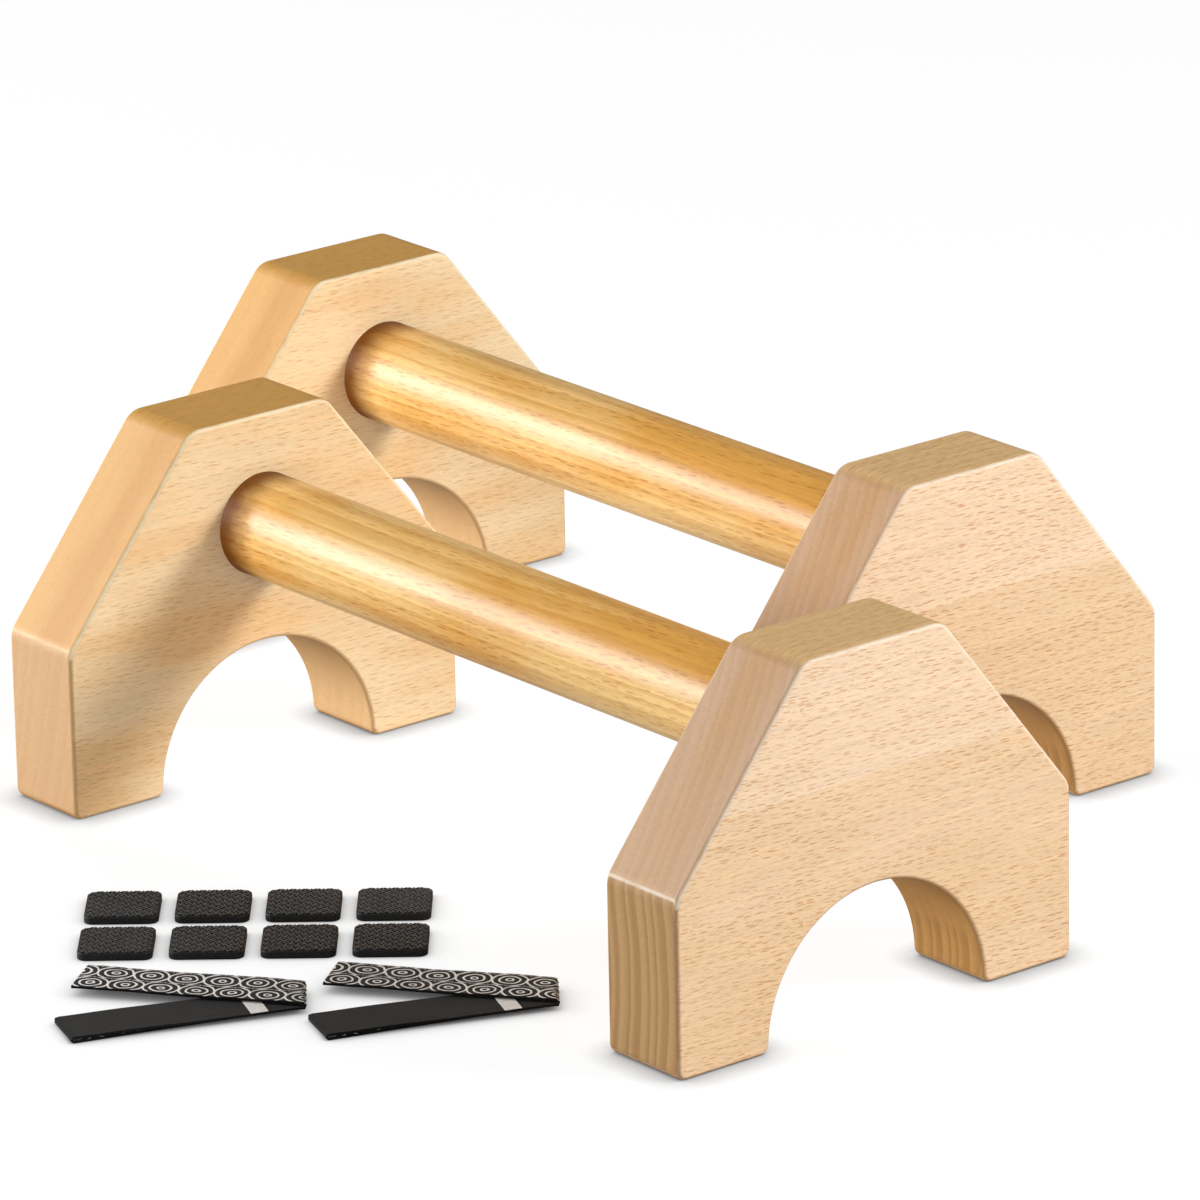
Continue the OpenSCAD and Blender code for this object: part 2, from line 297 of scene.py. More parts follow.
class Shader:
    """The nodes of one material, or of the world, wired by short calls."""

    def __init__(self, name: str, shift: Point = ORIGIN, world: bool = False) -> None:
        """Start an empty node tree.

        Args:
            name: The material's or the world's name.
            shift: The shift of its noises in units, which makes others of the same kind.
            world: Whether the nodes are a world's.
        """
        self.owner = (bpy.data.worlds if world else bpy.data.materials).new(name)
        self.owner.use_nodes = True
        self.shift = shift
        self.tree = self.owner.node_tree
        self.tree.nodes.clear()

    def add(self, kind: str, **settings: object) -> bpy.types.Node:
        """Add a node and set its fields.

        Args:
            kind: The node's type without the Shader prefix.
            **settings: Fields of the node.

        Returns:
            The node.
        """
        node = self.tree.nodes.new("ShaderNode" + kind)
        for key, value in settings.items():
            setattr(node, key, value)
        return node

    def put(self, value: object, socket: Socket) -> None:
        """Link a socket to an input, or set the input to a constant.

        Args:
            value: A socket, a number or a vector.
            socket: The input.
        """
        if isinstance(value, bpy.types.NodeSocket):
            self.tree.links.new(value, socket)
        else:
            socket.default_value = value

    def fill(self, node: bpy.types.Node, *values: object) -> bpy.types.Node:
        """Put values into a node's first inputs.

        Args:
            node: The node.
            *values: Its inputs in order.

        Returns:
            The node.
        """
        for value, socket in zip(values, node.inputs):
            self.put(value, socket)
        return node

    def math(self, operation: str, *values: object, clamp: bool = False) -> Socket:
        """Add a Math node, whose result can be kept from 0 to 1, and give its socket."""
        node = self.add("Math", operation=operation, use_clamp=clamp)
        return self.fill(node, *values).outputs[0]

    def vector(self, operation: str, *values: object, scale: object = 1.0) -> Socket:
        """Add a Vector Math node.

        Args:
            operation: The node's operation.
            *values: Its vector inputs in order.
            scale: The factor of a SCALE.

        Returns:
            The result's socket, which is a number for LENGTH and DOT_PRODUCT.
        """
        node = self.fill(self.add("VectorMath", operation=operation), *values)
        self.put(scale, node.inputs[3])
        return node.outputs[1 if operation in ("LENGTH", "DOT_PRODUCT") else 0]

    def split(self, coords: Socket) -> list[Socket]:
        """Split coordinates into the sockets of X, Y and Z."""
        return list(self.fill(self.add("SeparateXYZ"), coords).outputs)

    def place(self, centre: Point = ORIGIN, turn: Point = ORIGIN) -> Socket:
        """Give Object coordinates in millimetres round a piece's centre.

        Args:
            centre: The piece's centre in metres.
            turn: The turn of the pattern's axes in radians.

        Returns:
            The coordinates' socket.
        """
        mapping = self.add("Mapping", vector_type="TEXTURE")
        at = self.add("TexCoord").outputs["Object"]
        return self.fill(mapping, at, centre, turn, (MM, MM, MM)).outputs[0]

    def stretch(self, coords: Socket, lengths: Point) -> Socket:
        """Stretch coordinates so that one pattern unit has the given lengths, and shift them."""
        scaled = self.vector("MULTIPLY", coords, tuple(1 / length for length in lengths))
        return self.vector("ADD", scaled, self.shift)

    def noise(
        self, coords: Socket, lengths: Point, detail: float = 2.0, rough: float = 0.5,
        coloured: bool = False,
    ) -> Socket:
        """Add a noise.

        Args:
            coords: Its coordinates.
            lengths: The length of one unit along each axis.
            detail: The number of finer octaves.
            rough: The strength of the finer octaves.
            coloured: Whether three numbers are wanted rather than one.

        Returns:
            The noise's socket.
        """
        node = self.fill(self.add("TexNoise"), self.stretch(coords, lengths))
        for key, value in (("Scale", 1.0), ("Detail", detail), ("Roughness", rough)):
            node.inputs[key].default_value = value
        return node.outputs["Color" if coloured else 0]

    def span(
        self, value: object, low: float, high: float, to_low: object = 0.0, to_high: object = 1.0,
        way: str = "SMOOTHSTEP",
    ) -> Socket:
        """Map a range onto another one, and clamp it.

        Args:
            value: The number to map.
            low: Where the range starts.
            high: Where the range ends.
            to_low: The result at the start.
            to_high: The result at the end.
            way: SMOOTHSTEP or LINEAR.

        Returns:
            The mapped number's socket.
        """
        node = self.add("MapRange", interpolation_type=way)
        return self.fill(node, value, low, high, to_low, to_high).outputs[0]

    def mix(self, factor: object, first: object, second: object, how: str = "MIX") -> Socket:
        """Mix two colours.

        Args:
            factor: The share of the second colour.
            first: The first colour, a socket or a screen colour.
            second: The second colour.
            how: The blend type.

        Returns:
            The mixed colour's socket.
        """
        node = self.fill(self.add("Mix", data_type="RGBA", blend_type=how), factor)
        for colour, socket in zip((first, second), node.inputs[6:8]):
            self.put(linear(colour) if isinstance(colour, tuple) else colour, socket)
        return node.outputs[2]

    def bump(self, height: Socket, depth_mm: float, strength: float = 1.0) -> Socket:
        """Turn a height into a normal.

        Args:
            height: The height from 0 to 1.
            depth_mm: The depth of a height of 1, in millimetres.
            strength: The share of the bump that is used.

        Returns:
            The normal's socket.
        """
        node = self.add("Bump")
        for key, value in (("Strength", strength), ("Distance", depth_mm * MM), ("Height", height)):
            self.put(value, node.inputs[key])
        return node.outputs[0]

    def show(self, surface: bpy.types.Node, output: str = "OutputMaterial") -> None:
        """Let a shader node be the surface, through an output node of the given kind."""
        self.put(surface.outputs[0], self.add(output).inputs["Surface"])

    def finish(self, **sockets: object) -> Material:
        """Close the material with a Principled shader.

        Args:
            **sockets: Its inputs, with underscores for spaces.

        Returns:
            The finished material.
        """
        surface = self.add("BsdfPrincipled")
        for key, value in sockets.items():
            self.put(value, surface.inputs[key.replace("_", " ")])
        self.show(surface)
        return self.owner


class Cut(Enum):
    """How a piece of beech lies in the log: the turn that brings its grain to the Y axis."""

    ACROSS_THE_BAR = ORIGIN
    ALONG_THE_BAR = (0.0, 0.0, math.pi / 2)


@dataclass(frozen=True)
class Beech:
    """Solid beech: growth rings round a far pith, ray flecks, fibres and soft bands of tone.

    The broad faces, the slopes, the flat tops and the sawn ends each have a colour of their own.
    Painted shade partly darkens the tops and darkens the arch, the upper side of the bar and its
    ends; the rims and ridges get a painted highlight.
    A ring, or a fleck, is stronger on some of them than on others. The last block of fields is
    common to every piece: the lengths of the patterns across the board, along its grain and up.
    """

    pale: Colour
    deep: Colour
    late: Colour
    end: Colour
    fleck: Colour
    pith_mm: tuple[float, float]
    ring_pitch_mm: float
    ring_on_side: float
    ring_on_end: float
    ring_in_tone: float
    end_share: float
    grain: float
    fleck_strength: float
    fleck_scale: float
    fleck_soft: float
    tone_low: float
    tone_high: float
    roughness: float
    gloss: float
    cut: Cut
    seed: Point
    slope: Colour = BLACK
    slope_band: Colour = BLACK
    # partly the tops' own edge-grain colour and partly painted shade
    top: Colour = BLACK
    # painted shade on the arch's wall near its crown; the next colour is the wall's lower, lighter
    # part
    arch: Colour = BLACK
    arch_low: Colour = BLACK
    # a painted highlight, in worn patches, on the rims that face up and on the ridges
    rubbed: Colour = BLACK
    sealed: Colour = BLACK
    # painted shade at the bar's ends, by the blocks
    joint: Colour = BLACK
    ring_on_face: float = 0.0
    side_share: float = 0.0
    band_mm: float = 0.0
    band_low: float = 0.0
    band_streaks: float = 0.0
    arch_mm: float = 0.0
    edge_share: float = 0.0
    ridge_share: float = 0.0
    tone_least: float = 0.0
    # the step of tone: on the blocks the board's own, on the bar painted shade on its upper side
    boundary_mm: float = 0.0
    boundary_soft_mm: float = 1.0
    boundary_strength: float = 0.0
    boundary_fade: float = 1.0
    joint_from_mm: float = 0.0
    joint_to_mm: float = 0.0
    joint_shade_strength: float = 0.0
    coat: float = 0.0
    coat_roughness: float = 0.3

    warp_mm: Point = (70.0, 260.0, 70.0)
    warp_by_mm: Point = (9.0, 0.0, 9.0)
    streak_mm: Point = (0.9, 46.0, 1.1)
    pore_mm: Point = (0.16, 1.6, 0.16)
    # the size of the worn patches in the painted rim highlight
    wear_and_highlight_patch_mm: Point = (6.0, 11.0, 6.0)
    joint_patch_mm: Point = (6.0, 9.0, 6.0)
    joint_patch_by_mm: float = 6.0
    tone_band_mm: Point = (60.0, 150.0, 17.0)
    tone_cloud_mm: Point = (45.0, 60.0, 45.0)
    boundary_sway_mm: Point = (40.0, 70.0, 400.0)
    boundary_sway_by_mm: float = 5.0
    slope_cloud_mm: Point = (26.0, 30.0, 30.0)
    slope_streak_mm: Point = (9.0, 170.0, 170.0)
    slope_height_mm: float = 62.0
    band_half_mm: float = 15.0
    band_wander_mm: float = 16.0
    outer_rim_mm: tuple[float, float] = (55.0, 62.0)
    arch_down_mm: Point = (0.0, 0.0, 66.0)
    arch_height_mm: tuple[float, float] = (-62.0, -22.0)
    half_length_mm: float = 150.0
    year_unevenness: tuple[float, float] = (0.6, 1.1)
    ring_grows: tuple[float, float] = (0.05, 0.86)
    ring_power: float = 1.3
    ring_stops: tuple[float, float] = (0.93, 1.0)
    fleck_slant: float = 0.05
    fleck_sway_by_mm: float = 1.7
    fleck_sway_mm: Point = (30.0, 26.0, 9.0)
    fleck_crowd_mm: Point = (30.0, 60.0, 14.0)
    broad_fleck_mm: tuple[Point, Point] = ((14.0, 5.6, 1.8), (20.0, 2.3, 0.27))
    tall_fleck_mm: tuple[Point, Point] = ((1.9, 6.0, 14.0), (0.28, 2.3, 20.0))
    fine_fleck_mm: tuple[Point, Point] = ((9.0, 3.2, 1.15), (9.0, 1.25, 0.17))

    def material(self, name: str, centre: Vector) -> Material:
        """Build the wood for the piece of this name, round its centre in metres."""
        return BeechShader(self, name, tuple(centre)).build()


@dataclass(frozen=True)
class Facing:
    """Where a surface of a board looks, as numbers that shaders can use.

    The numbers run from 0 to 1, but for `upward`, which is the height of the normal. `side` is
    any side that isn't a broad face, `rim` is the rounded edge of a broad face, and `ridge` is
    the middle of the rounding between a sawn end and the slope above it.
    """

    side: Socket
    top: Socket
    end: Socket
    rim: Socket
    ridge: Socket
    upward: Socket


class BeechShader(Shader):
    """The nodes of one piece of beech."""

    def __init__(self, wood: Beech, name: str, centre: Point) -> None:
        """Lay the wood's axes in the piece.

        Args:
            wood: The wood.
            name: The material's name.
            centre: The piece's centre in metres.
        """
        super().__init__(name, wood.seed)
        self.wood = wood
        self.at = self.place(centre, wood.cut.value)
        self.across, self.along, self.up = self.split(self.at)
        self.facing = self._facing()

    def build(self) -> Material:
        """Join the wood's colour, sheen and pores.

        Returns:
            The material.
        """
        wood = self.wood
        warp = self.noise(self.at, wood.warp_mm, coloured=True)
        warped = self.vector("MULTIPLY_ADD", warp, wood.warp_by_mm, self.at)
        streaks = self.noise(warped, wood.streak_mm, 3.0, 0.62)
        fibre = self.span(streaks, 0.25, 0.75, 1 - wood.grain, 1 + wood.grain)
        colour = self.vector("SCALE", self._board(self._rings(warped)), scale=fibre)
        flecks = self._flecks()
        fleck = self.math("MULTIPLY", flecks, wood.fleck_strength)
        colour = self._rim_highlight_and_seal(self.mix(fleck, colour, wood.fleck, "MULTIPLY"))
        coat: object = wood.coat
        # Painted shade at the bar's ends by the blocks: a dark colour, and the coat fades there so
        # that no highlight shows.
        if wood.joint_shade_strength > 0:
            joint = self._joint()
            colour = self.mix(joint, colour, wood.joint)
            coat = self.span(joint, 0.0, 0.5, wood.coat, 0.0)
        pores = self.noise(self.at, wood.pore_mm, 1.0)
        height = self.math("MULTIPLY_ADD", streaks, 0.5, self.math("MULTIPLY", flecks, -0.6))
        return self.finish(
            Base_Color=colour,
            Roughness=self.span(streaks, 0.2, 0.8, wood.roughness - 0.05, wood.roughness + 0.07),
            Specular_IOR_Level=wood.gloss,
            Coat_Weight=coat,
            Coat_Roughness=wood.coat_roughness,
            Normal=self.bump(self.math("MULTIPLY_ADD", pores, 0.35, height), 0.05),
        )

    def _facing(self) -> Facing:
        """Tell the slopes and tops, the tops alone, the sawn ends and the rounded edges apart.

        Returns:
            Where the surface looks.
        """
        turned = self.fill(
            self.add("Mapping", vector_type="TEXTURE"), self.add("TexCoord").outputs["Normal"],
            ORIGIN, self.wood.cut.value,
        )
        normal = turned.outputs[0]
        across, along, up = self.split(self.vector("MULTIPLY", normal, normal))
        upward = self.split(normal)[2]
        rim = (self.span(across, 0.06, 0.3), self.span(across, 0.7, 0.94, 1.0, 0.0))
        ridge = (self.span(along, 0.76, 0.8), self.span(along, 0.86, 0.9, 1.0, 0.0))
        facing_up = self.span(upward, 0.2, 0.35)
        return Facing(
            side=self.span(across, 0.25, 0.75, 1.0, 0.0),
            top=self.span(up, 0.5, 0.95),
            end=self.span(along, 0.83, 0.91),
            rim=self.math("MULTIPLY", *rim),
            ridge=self.math("MULTIPLY", self.math("MULTIPLY", *ridge), facing_up),
            upward=upward,
        )

    def _rings(self, warped: Socket) -> Socket:
        """Draw the growth rings: pale early wood that ends at a dark, sharp late line.

        Args:
            warped: The warped coordinates in millimetres.

        Returns:
            The darkness of the ring, from 0 to 1.
        """
        pith = (self.wood.pith_mm[0], 0.0, self.wood.pith_mm[1])
        flat = self.vector("MULTIPLY", self.vector("SUBTRACT", warped, pith), (1.0, 0.0, 1.0))
        years = self.math("DIVIDE", self.vector("LENGTH", flat), self.wood.ring_pitch_mm)
        often, much = self.wood.year_unevenness
        uneven = self.add("TexNoise", noise_dimensions="1D")
        self.put(self.math("MULTIPLY", years, often), uneven.inputs["W"])
        uneven.inputs["Scale"].default_value = 1.0
        share = self.math("FRACT", self.math("MULTIPLY_ADD", uneven.outputs[0], much, years))
        grow = self.math("POWER", self.span(share, *self.wood.ring_grows), self.wood.ring_power)
        return self.math("MULTIPLY", grow, self.span(share, *self.wood.ring_stops, 1.0, 0.0))

    def _board(self, ring: Socket) -> Socket:
        """Colour the board by where it was cut and how deep its rings are.

        Args:
            ring: The darkness of the ring.

        Returns:
            The colour without fibres and flecks.
        """
        wood, facing = self.wood, self.facing
        tone = self.math("MULTIPLY_ADD", ring, wood.ring_in_tone, self._tone(), clamp=True)
        colour = self.mix(tone, wood.pale, wood.deep)
        # The tops' colour is partly their own and partly painted shade.
        for part, share, tint in (
            (facing.side, wood.side_share, self._slope()),
            (facing.top, wood.side_share, wood.top),
            (facing.end, wood.end_share, wood.end),
        ):
            colour = self.mix(self.math("MULTIPLY", part, share), colour, tint)
        # Painted shade in the arch: its wall darkens towards the crown.
        if wood.arch_mm > 0:
            wall = self.mix(self.span(self.up, *wood.arch_height_mm), wood.arch_low, wood.arch)
            colour = self.mix(self._arch(), colour, wall)
        on_side = wood.ring_on_side - wood.ring_on_face
        weight = self.math("MULTIPLY_ADD", facing.side, on_side, wood.ring_on_face)
        on_end = wood.ring_on_end - wood.ring_on_side
        weight = self.math("MULTIPLY_ADD", facing.end, on_end, weight)
        return self.mix(self.math("MULTIPLY", ring, weight, clamp=True), colour, wood.late)

    def _tone(self) -> Socket:
        """Draw soft bands along the grain and the one step of tone across the board; on the bar,
        the step is painted shade on its upper side.

        Returns:
            The share of the deeper tone.
        """
        wood = self.wood
        bands = self.math("MULTIPLY", self.noise(self.at, wood.tone_band_mm, 2.0, 0.45), 0.55)
        both = self.math("MULTIPLY_ADD", self.noise(self.at, wood.tone_cloud_mm), 0.45, bands)
        tone = self.span(both, wood.tone_low, wood.tone_high, wood.tone_least, 1.0)
        sway = self.noise(self.at, wood.boundary_sway_mm, 1.0)
        level = self.math("MULTIPLY_ADD", sway, wood.boundary_sway_by_mm, self.up)
        half = wood.half_length_mm
        # Above the step the blocks get paler; the bar gets deeper there, as painted shade on its
        # upper side.
        above = self.math(
            "MULTIPLY",
            self.span(level, wood.boundary_mm, wood.boundary_mm + wood.boundary_soft_mm),
            self.span(self.along, -half, half, 1.0, wood.boundary_fade),
        )
        return self.math("MULTIPLY_ADD", above, -wood.boundary_strength, tone)

    def _slope(self) -> Socket:
        """Draw a slope with one soft deeper band along it, which can fade towards the shoulder.

        Returns:
            The slope's colour.
        """
        wood = self.wood
        clouds = self.noise(self.at, wood.slope_cloud_mm)
        across = self.math("MULTIPLY_ADD", clouds, wood.band_wander_mm, self.across)
        off = self.math("SUBTRACT", across, wood.band_mm + wood.band_wander_mm / 2)
        band = self.math(
            "MULTIPLY",
            self.span(self.math("ABSOLUTE", off), 0.0, wood.band_half_mm, 1.0, 0.0),
            self.span(self.up, 0.0, wood.slope_height_mm, wood.band_low, 1.0),
        )
        streaks = self.noise(self.at, wood.slope_streak_mm)
        streaks = self.span(streaks, 0.3, 0.7, -wood.band_streaks, wood.band_streaks)
        share = self.math("ADD", streaks, band, clamp=True)
        return self.mix(share, wood.slope, wood.slope_band)

    def _arch(self) -> Socket:
        """Find the wall of the arch, where shade is painted.

        Returns:
            The share of the arch's painted shade.
        """
        from_axis = self.vector("ADD", self.at, self.wood.arch_down_mm)
        flat = self.vector("MULTIPLY", from_axis, (0.0, 1.0, 1.0))
        wall = self.wood.arch_mm
        return self.span(self.vector("LENGTH", flat), wall + 0.1, wall + 0.7, 0.92, 0.0)

    def _flecks(self) -> Socket:
        """Scatter the short dark ray flecks of beech along the grain.

        Returns:
            The strength of the flecks.
        """
        wood = self.wood
        sway, by = self.noise(self.at, wood.fleck_sway_mm, 1.0), wood.fleck_sway_by_mm
        lift = self.math("MULTIPLY_ADD", sway, by, -by / 2)
        slant = self.math("MULTIPLY_ADD", self.along, wood.fleck_slant, lift)
        across, up = (self.math("ADD", axis, slant) for axis in (self.across, self.up))
        moved = self.fill(self.add("CombineXYZ"), across, self.along, up).outputs[0]
        broad, tall, fine = (
            self._dashes(moved, *sizes)
            for sizes in (wood.broad_fleck_mm, wood.tall_fleck_mm, wood.fine_fleck_mm)
        )
        strong = self.math("MAXIMUM", broad, self.math("MULTIPLY", fine, 0.5))
        on_faces = self.math("MULTIPLY", strong, self.math("SUBTRACT", 1.0, self.facing.side))
        both = self.math("ADD", on_faces, self.math("MULTIPLY", tall, self.facing.top))
        crowd = self.noise(self.at, wood.fleck_crowd_mm, 1.0)
        return self.math("MULTIPLY", both, self.span(crowd, 0.3, 0.6, 0.65, 1.0))

    def _dashes(self, at: Socket, cell: Point, half: Point) -> Socket:
        """Put one dash of random strength in each cell of a stretched cell pattern.

        Args:
            at: The coordinates in millimetres.
            cell: The mean distance between dashes along each axis.
            half: The half length of a dash along each axis.

        Returns:
            The strength of the dashes.
        """
        soft = self.wood.fleck_soft
        coords = self.stretch(at, tuple(length * self.wood.fleck_scale for length in cell))
        cells = self.fill(self.add("TexVoronoi", feature="F1"), coords)
        cells.inputs["Scale"].default_value = 1.0
        off = self.vector("SUBTRACT", coords, cells.outputs["Position"])
        off = self.vector("MULTIPLY", off, tuple(a / b for a, b in zip(cell, half)))
        dash = self.span(self.vector("LENGTH", off), 1.0 - soft, 1.0 + soft / 2, 1.0, 0.0)
        chance = self.fill(self.add("SeparateColor"), cells.outputs["Color"]).outputs[0]
        return self.math("MULTIPLY", dash, self.span(chance, 0.05, 0.85, 0.35, 1.0))

    def _rim_highlight_and_seal(self, colour: Socket) -> Socket:
        """Paint a pale highlight, in worn patches, on the rounded rims and ridges, and leave the
        upright outer rims sealed.

        Args:
            colour: The colour without the painted rim highlights.

        Returns:
            The colour with its painted highlights and sealed rims.
        """
        wood, facing = self.wood, self.facing
        outside = self.span(self.math("ABSOLUTE", self.along), *wood.outer_rim_mm)
        # The rim colour: the arch's low colour round the arch, the sealed colour on the outer rims,
        # and a painted highlight on the rims that face up.
        worn = self.mix(outside, wood.arch_low, wood.sealed)
        worn = self.mix(self.span(facing.upward, 0.03, 0.12), worn, wood.rubbed)
        patchy = self.span(self.noise(self.at, wood.wear_and_highlight_patch_mm, 2.0, 0.6), 0.25, 0.6, 0.45, 1.0)
        # Worn patches break up the painted highlights on the rims and ridges.
        for part, share, tint in (
            (facing.rim, wood.edge_share, worn), (facing.ridge, wood.ridge_share, wood.rubbed)
        ):
            wear_and_highlight_share = self.math("MULTIPLY", self.math("MULTIPLY", part, share), patchy)
            colour = self.mix(wear_and_highlight_share, colour, tint)
        return colour

    def _joint(self) -> Socket:
        """Paint shade on the bar near the mortises, where the blocks shade its ends.

        Returns:
            The share of the painted shade at the bar's ends.
        """
        wood = self.wood
        patchy = self.noise(self.at, wood.joint_patch_mm)
        from_middle = self.math("ABSOLUTE", self.along)
        place = self.math("MULTIPLY_ADD", patchy, wood.joint_patch_by_mm, from_middle)
        return self.span(place, wood.joint_from_mm, wood.joint_to_mm, 0.0, wood.joint_shade_strength)


RIGHT_BLOCK_BEECH = Beech(
    pale=(248, 219, 186),
    deep=(240, 205, 163),
    late=(150, 106, 60),
    # Partly painted shade: the slopes and sawn ends are darker than the left blocks', beyond the
    # end grain's own darker colour.
    slope=(207, 168, 131),
    slope_band=(203, 156, 106),
    # the tops: their own colour, darkened by painted shade
    top=(226, 188, 133),
    end=(190, 152, 104),
    # the arch: painted shade, darker towards the crown
    arch=(182, 130, 62),
    arch_low=(198, 150, 86),
    # the pale rim colour: a painted highlight, in worn patches
    rubbed=(255, 244, 226),
    sealed=(168, 124, 76),
    fleck=(222, 184, 148),
    pith_mm=(-205.0, -30.0),
    ring_pitch_mm=4.8,
    ring_on_side=0.12,
    ring_on_end=0.5,
    ring_in_tone=0.12,
    side_share=0.95,
    end_share=0.95,
    band_mm=2.0,
    band_low=0.2,
    band_streaks=0.3,
    arch_mm=47.5,
    edge_share=0.5,
    ridge_share=0.55,
    grain=0.065,
    fleck_strength=0.9,
    fleck_scale=1.0,
    fleck_soft=0.5,
    tone_low=0.3,
    tone_high=0.7,
    tone_least=0.6,
    boundary_mm=22.5,
    boundary_soft_mm=1.2,
    boundary_strength=0.75,
    roughness=0.5,
    gloss=0.22,
    cut=Cut.ACROSS_THE_BAR,
    seed=(3.1, 7.7, 1.9),
)

LEFT_BLOCK_BEECH = Beech(
    pale=(251, 226, 185),
    deep=(245, 206, 153),
    late=(186, 132, 76),
    slope=(224, 173, 104),
    slope_band=(212, 156, 87),
    # the tops: their own colour, darkened by painted shade
    top=(210, 160, 85),
    end=(218, 178, 135),
    # the arch: painted shade, darker towards the crown
    arch=(178, 136, 84),
    arch_low=(228, 188, 136),
    # the pale rim colour: a painted highlight, in worn patches
    rubbed=(255, 237, 198),
    sealed=(222, 180, 128),
    fleck=(228, 200, 168),
    pith_mm=(-260.0, 40.0),
    ring_pitch_mm=6.5,
    ring_on_side=0.05,
    ring_on_end=0.1,
    ring_in_tone=0.1,
    side_share=0.95,
    end_share=0.9,
    band_mm=6.0,
    band_low=1.3,
    band_streaks=0.12,
    arch_mm=47.5,
    edge_share=0.95,
    ridge_share=0.3,
    grain=0.055,
    fleck_strength=0.85,
    fleck_scale=1.1,
    fleck_soft=0.9,
    tone_low=0.38,
    tone_high=0.64,
    roughness=0.46,
    gloss=0.22,
    cut=Cut.ACROSS_THE_BAR,
    seed=(12.4, 2.3, 8.6),
)

BAR_BEECH = Beech(
    pale=(252, 217, 150),
    deep=(228, 169, 82),
    late=(150, 92, 28),
    end=(196, 142, 76),
    fleck=(200, 148, 84),
    # painted shade at the bar's ends, by the blocks
    joint=(96, 48, 0),
    pith_mm=(-42.0, -95.0),
    ring_pitch_mm=4.2,
    ring_on_face=0.13,
    ring_on_side=0.13,
    ring_on_end=0.4,
    ring_in_tone=0.22,
    end_share=0.6,
    grain=0.09,
    fleck_strength=0.6,
    fleck_scale=1.35,
    fleck_soft=0.5,
    tone_low=0.38,
    tone_high=0.76,
    # Painted shade: the tone deepens on the bar's upper side, most at one end.
    boundary_mm=6.0,
    boundary_soft_mm=12.0,
    boundary_strength=-0.75,
    boundary_fade=0.25,
    # where the painted shade at the bar's ends starts and where it is full, from the bar's middle
    joint_from_mm=131.0,
    joint_to_mm=151.5,
    joint_shade_strength=0.96,
    roughness=0.42,
    gloss=0.05,
    coat=0.5,
    coat_roughness=0.32,
    cut=Cut.ALONG_THE_BAR,
    seed=(5.5, 1.2, 14.0),
)


@dataclass(frozen=True)
class Zinc:
    """Bright zinc plating with fine turning marks."""

    light: Colour = (206, 208, 210)
    dull: Colour = (150, 153, 158)
    mark_mm: Point = (6.0, 6.0, 0.12)
    cloud_mm: Point = (2.5, 2.5, 2.5)

    def material(self, name: str) -> Material:
        """Build the metal.

        Args:
            name: The material's name.

        Returns:
            The material.
        """
        s = Shader(name)
        at = s.place()
        cloud = s.noise(at, self.cloud_mm, 3.0)
        return s.finish(
            Base_Color=s.mix(cloud, self.light, self.dull),
            Metallic=1.0,
            Roughness=s.span(cloud, 0.3, 0.7, 0.26, 0.42),
            Normal=s.bump(s.noise(at, self.mark_mm, 2.0, 0.6), 0.02),
        )


@dataclass(frozen=True)
class Rubber:
    """Moulded anti-slip rubber: dark, matt, with a pale painted highlight, in worn patches, on the
    tread's crests.
    """

    ground: Colour = (9, 9, 9)
    # a painted highlight, in worn patches, on the tread's crests
    rubbed: Colour = (60, 60, 61)
    dust: Colour = (15, 15, 15)
    highlight_from: float = 0.35
    cloud_mm: Point = (7.0, 7.0, 7.0)
    grain_mm: Point = (0.22, 0.22, 0.22)

    def material(self, name: str, foot: float, crest: float) -> Material:
        """Build the rubber.

        Args:
            name: The material's name.
            foot: The height of the tread's foot.
            crest: The height of the tread's crest.

        Returns:
            The material.
        """
        s = Shader(name)
        at = s.place()
        cloud = s.noise(at, self.cloud_mm, 3.0, 0.55)
        grain = s.noise(at, self.grain_mm, 2.0, 0.6)
        # Painted highlight on the tread's crests, in worn patches.
        high = s.span(s.split(at)[2], (foot + self.highlight_from * (crest - foot)) / MM, crest / MM)
        wear_and_highlight_share = s.math("MULTIPLY", high, s.span(cloud, 0.2, 0.7, 0.55, 1.0))
        colour = s.mix(s.span(cloud, 0.4, 0.72, 0.0, 0.6), self.ground, self.dust)
        return s.finish(
            Base_Color=s.mix(wear_and_highlight_share, colour, self.rubbed),
            Roughness=s.span(grain, 0.3, 0.7, 0.5, 0.68),
            Specular_IOR_Level=0.4,
            Sheen_Weight=0.04,
            Sheen_Roughness=0.5,
            Normal=s.bump(grain, 0.03),
        )


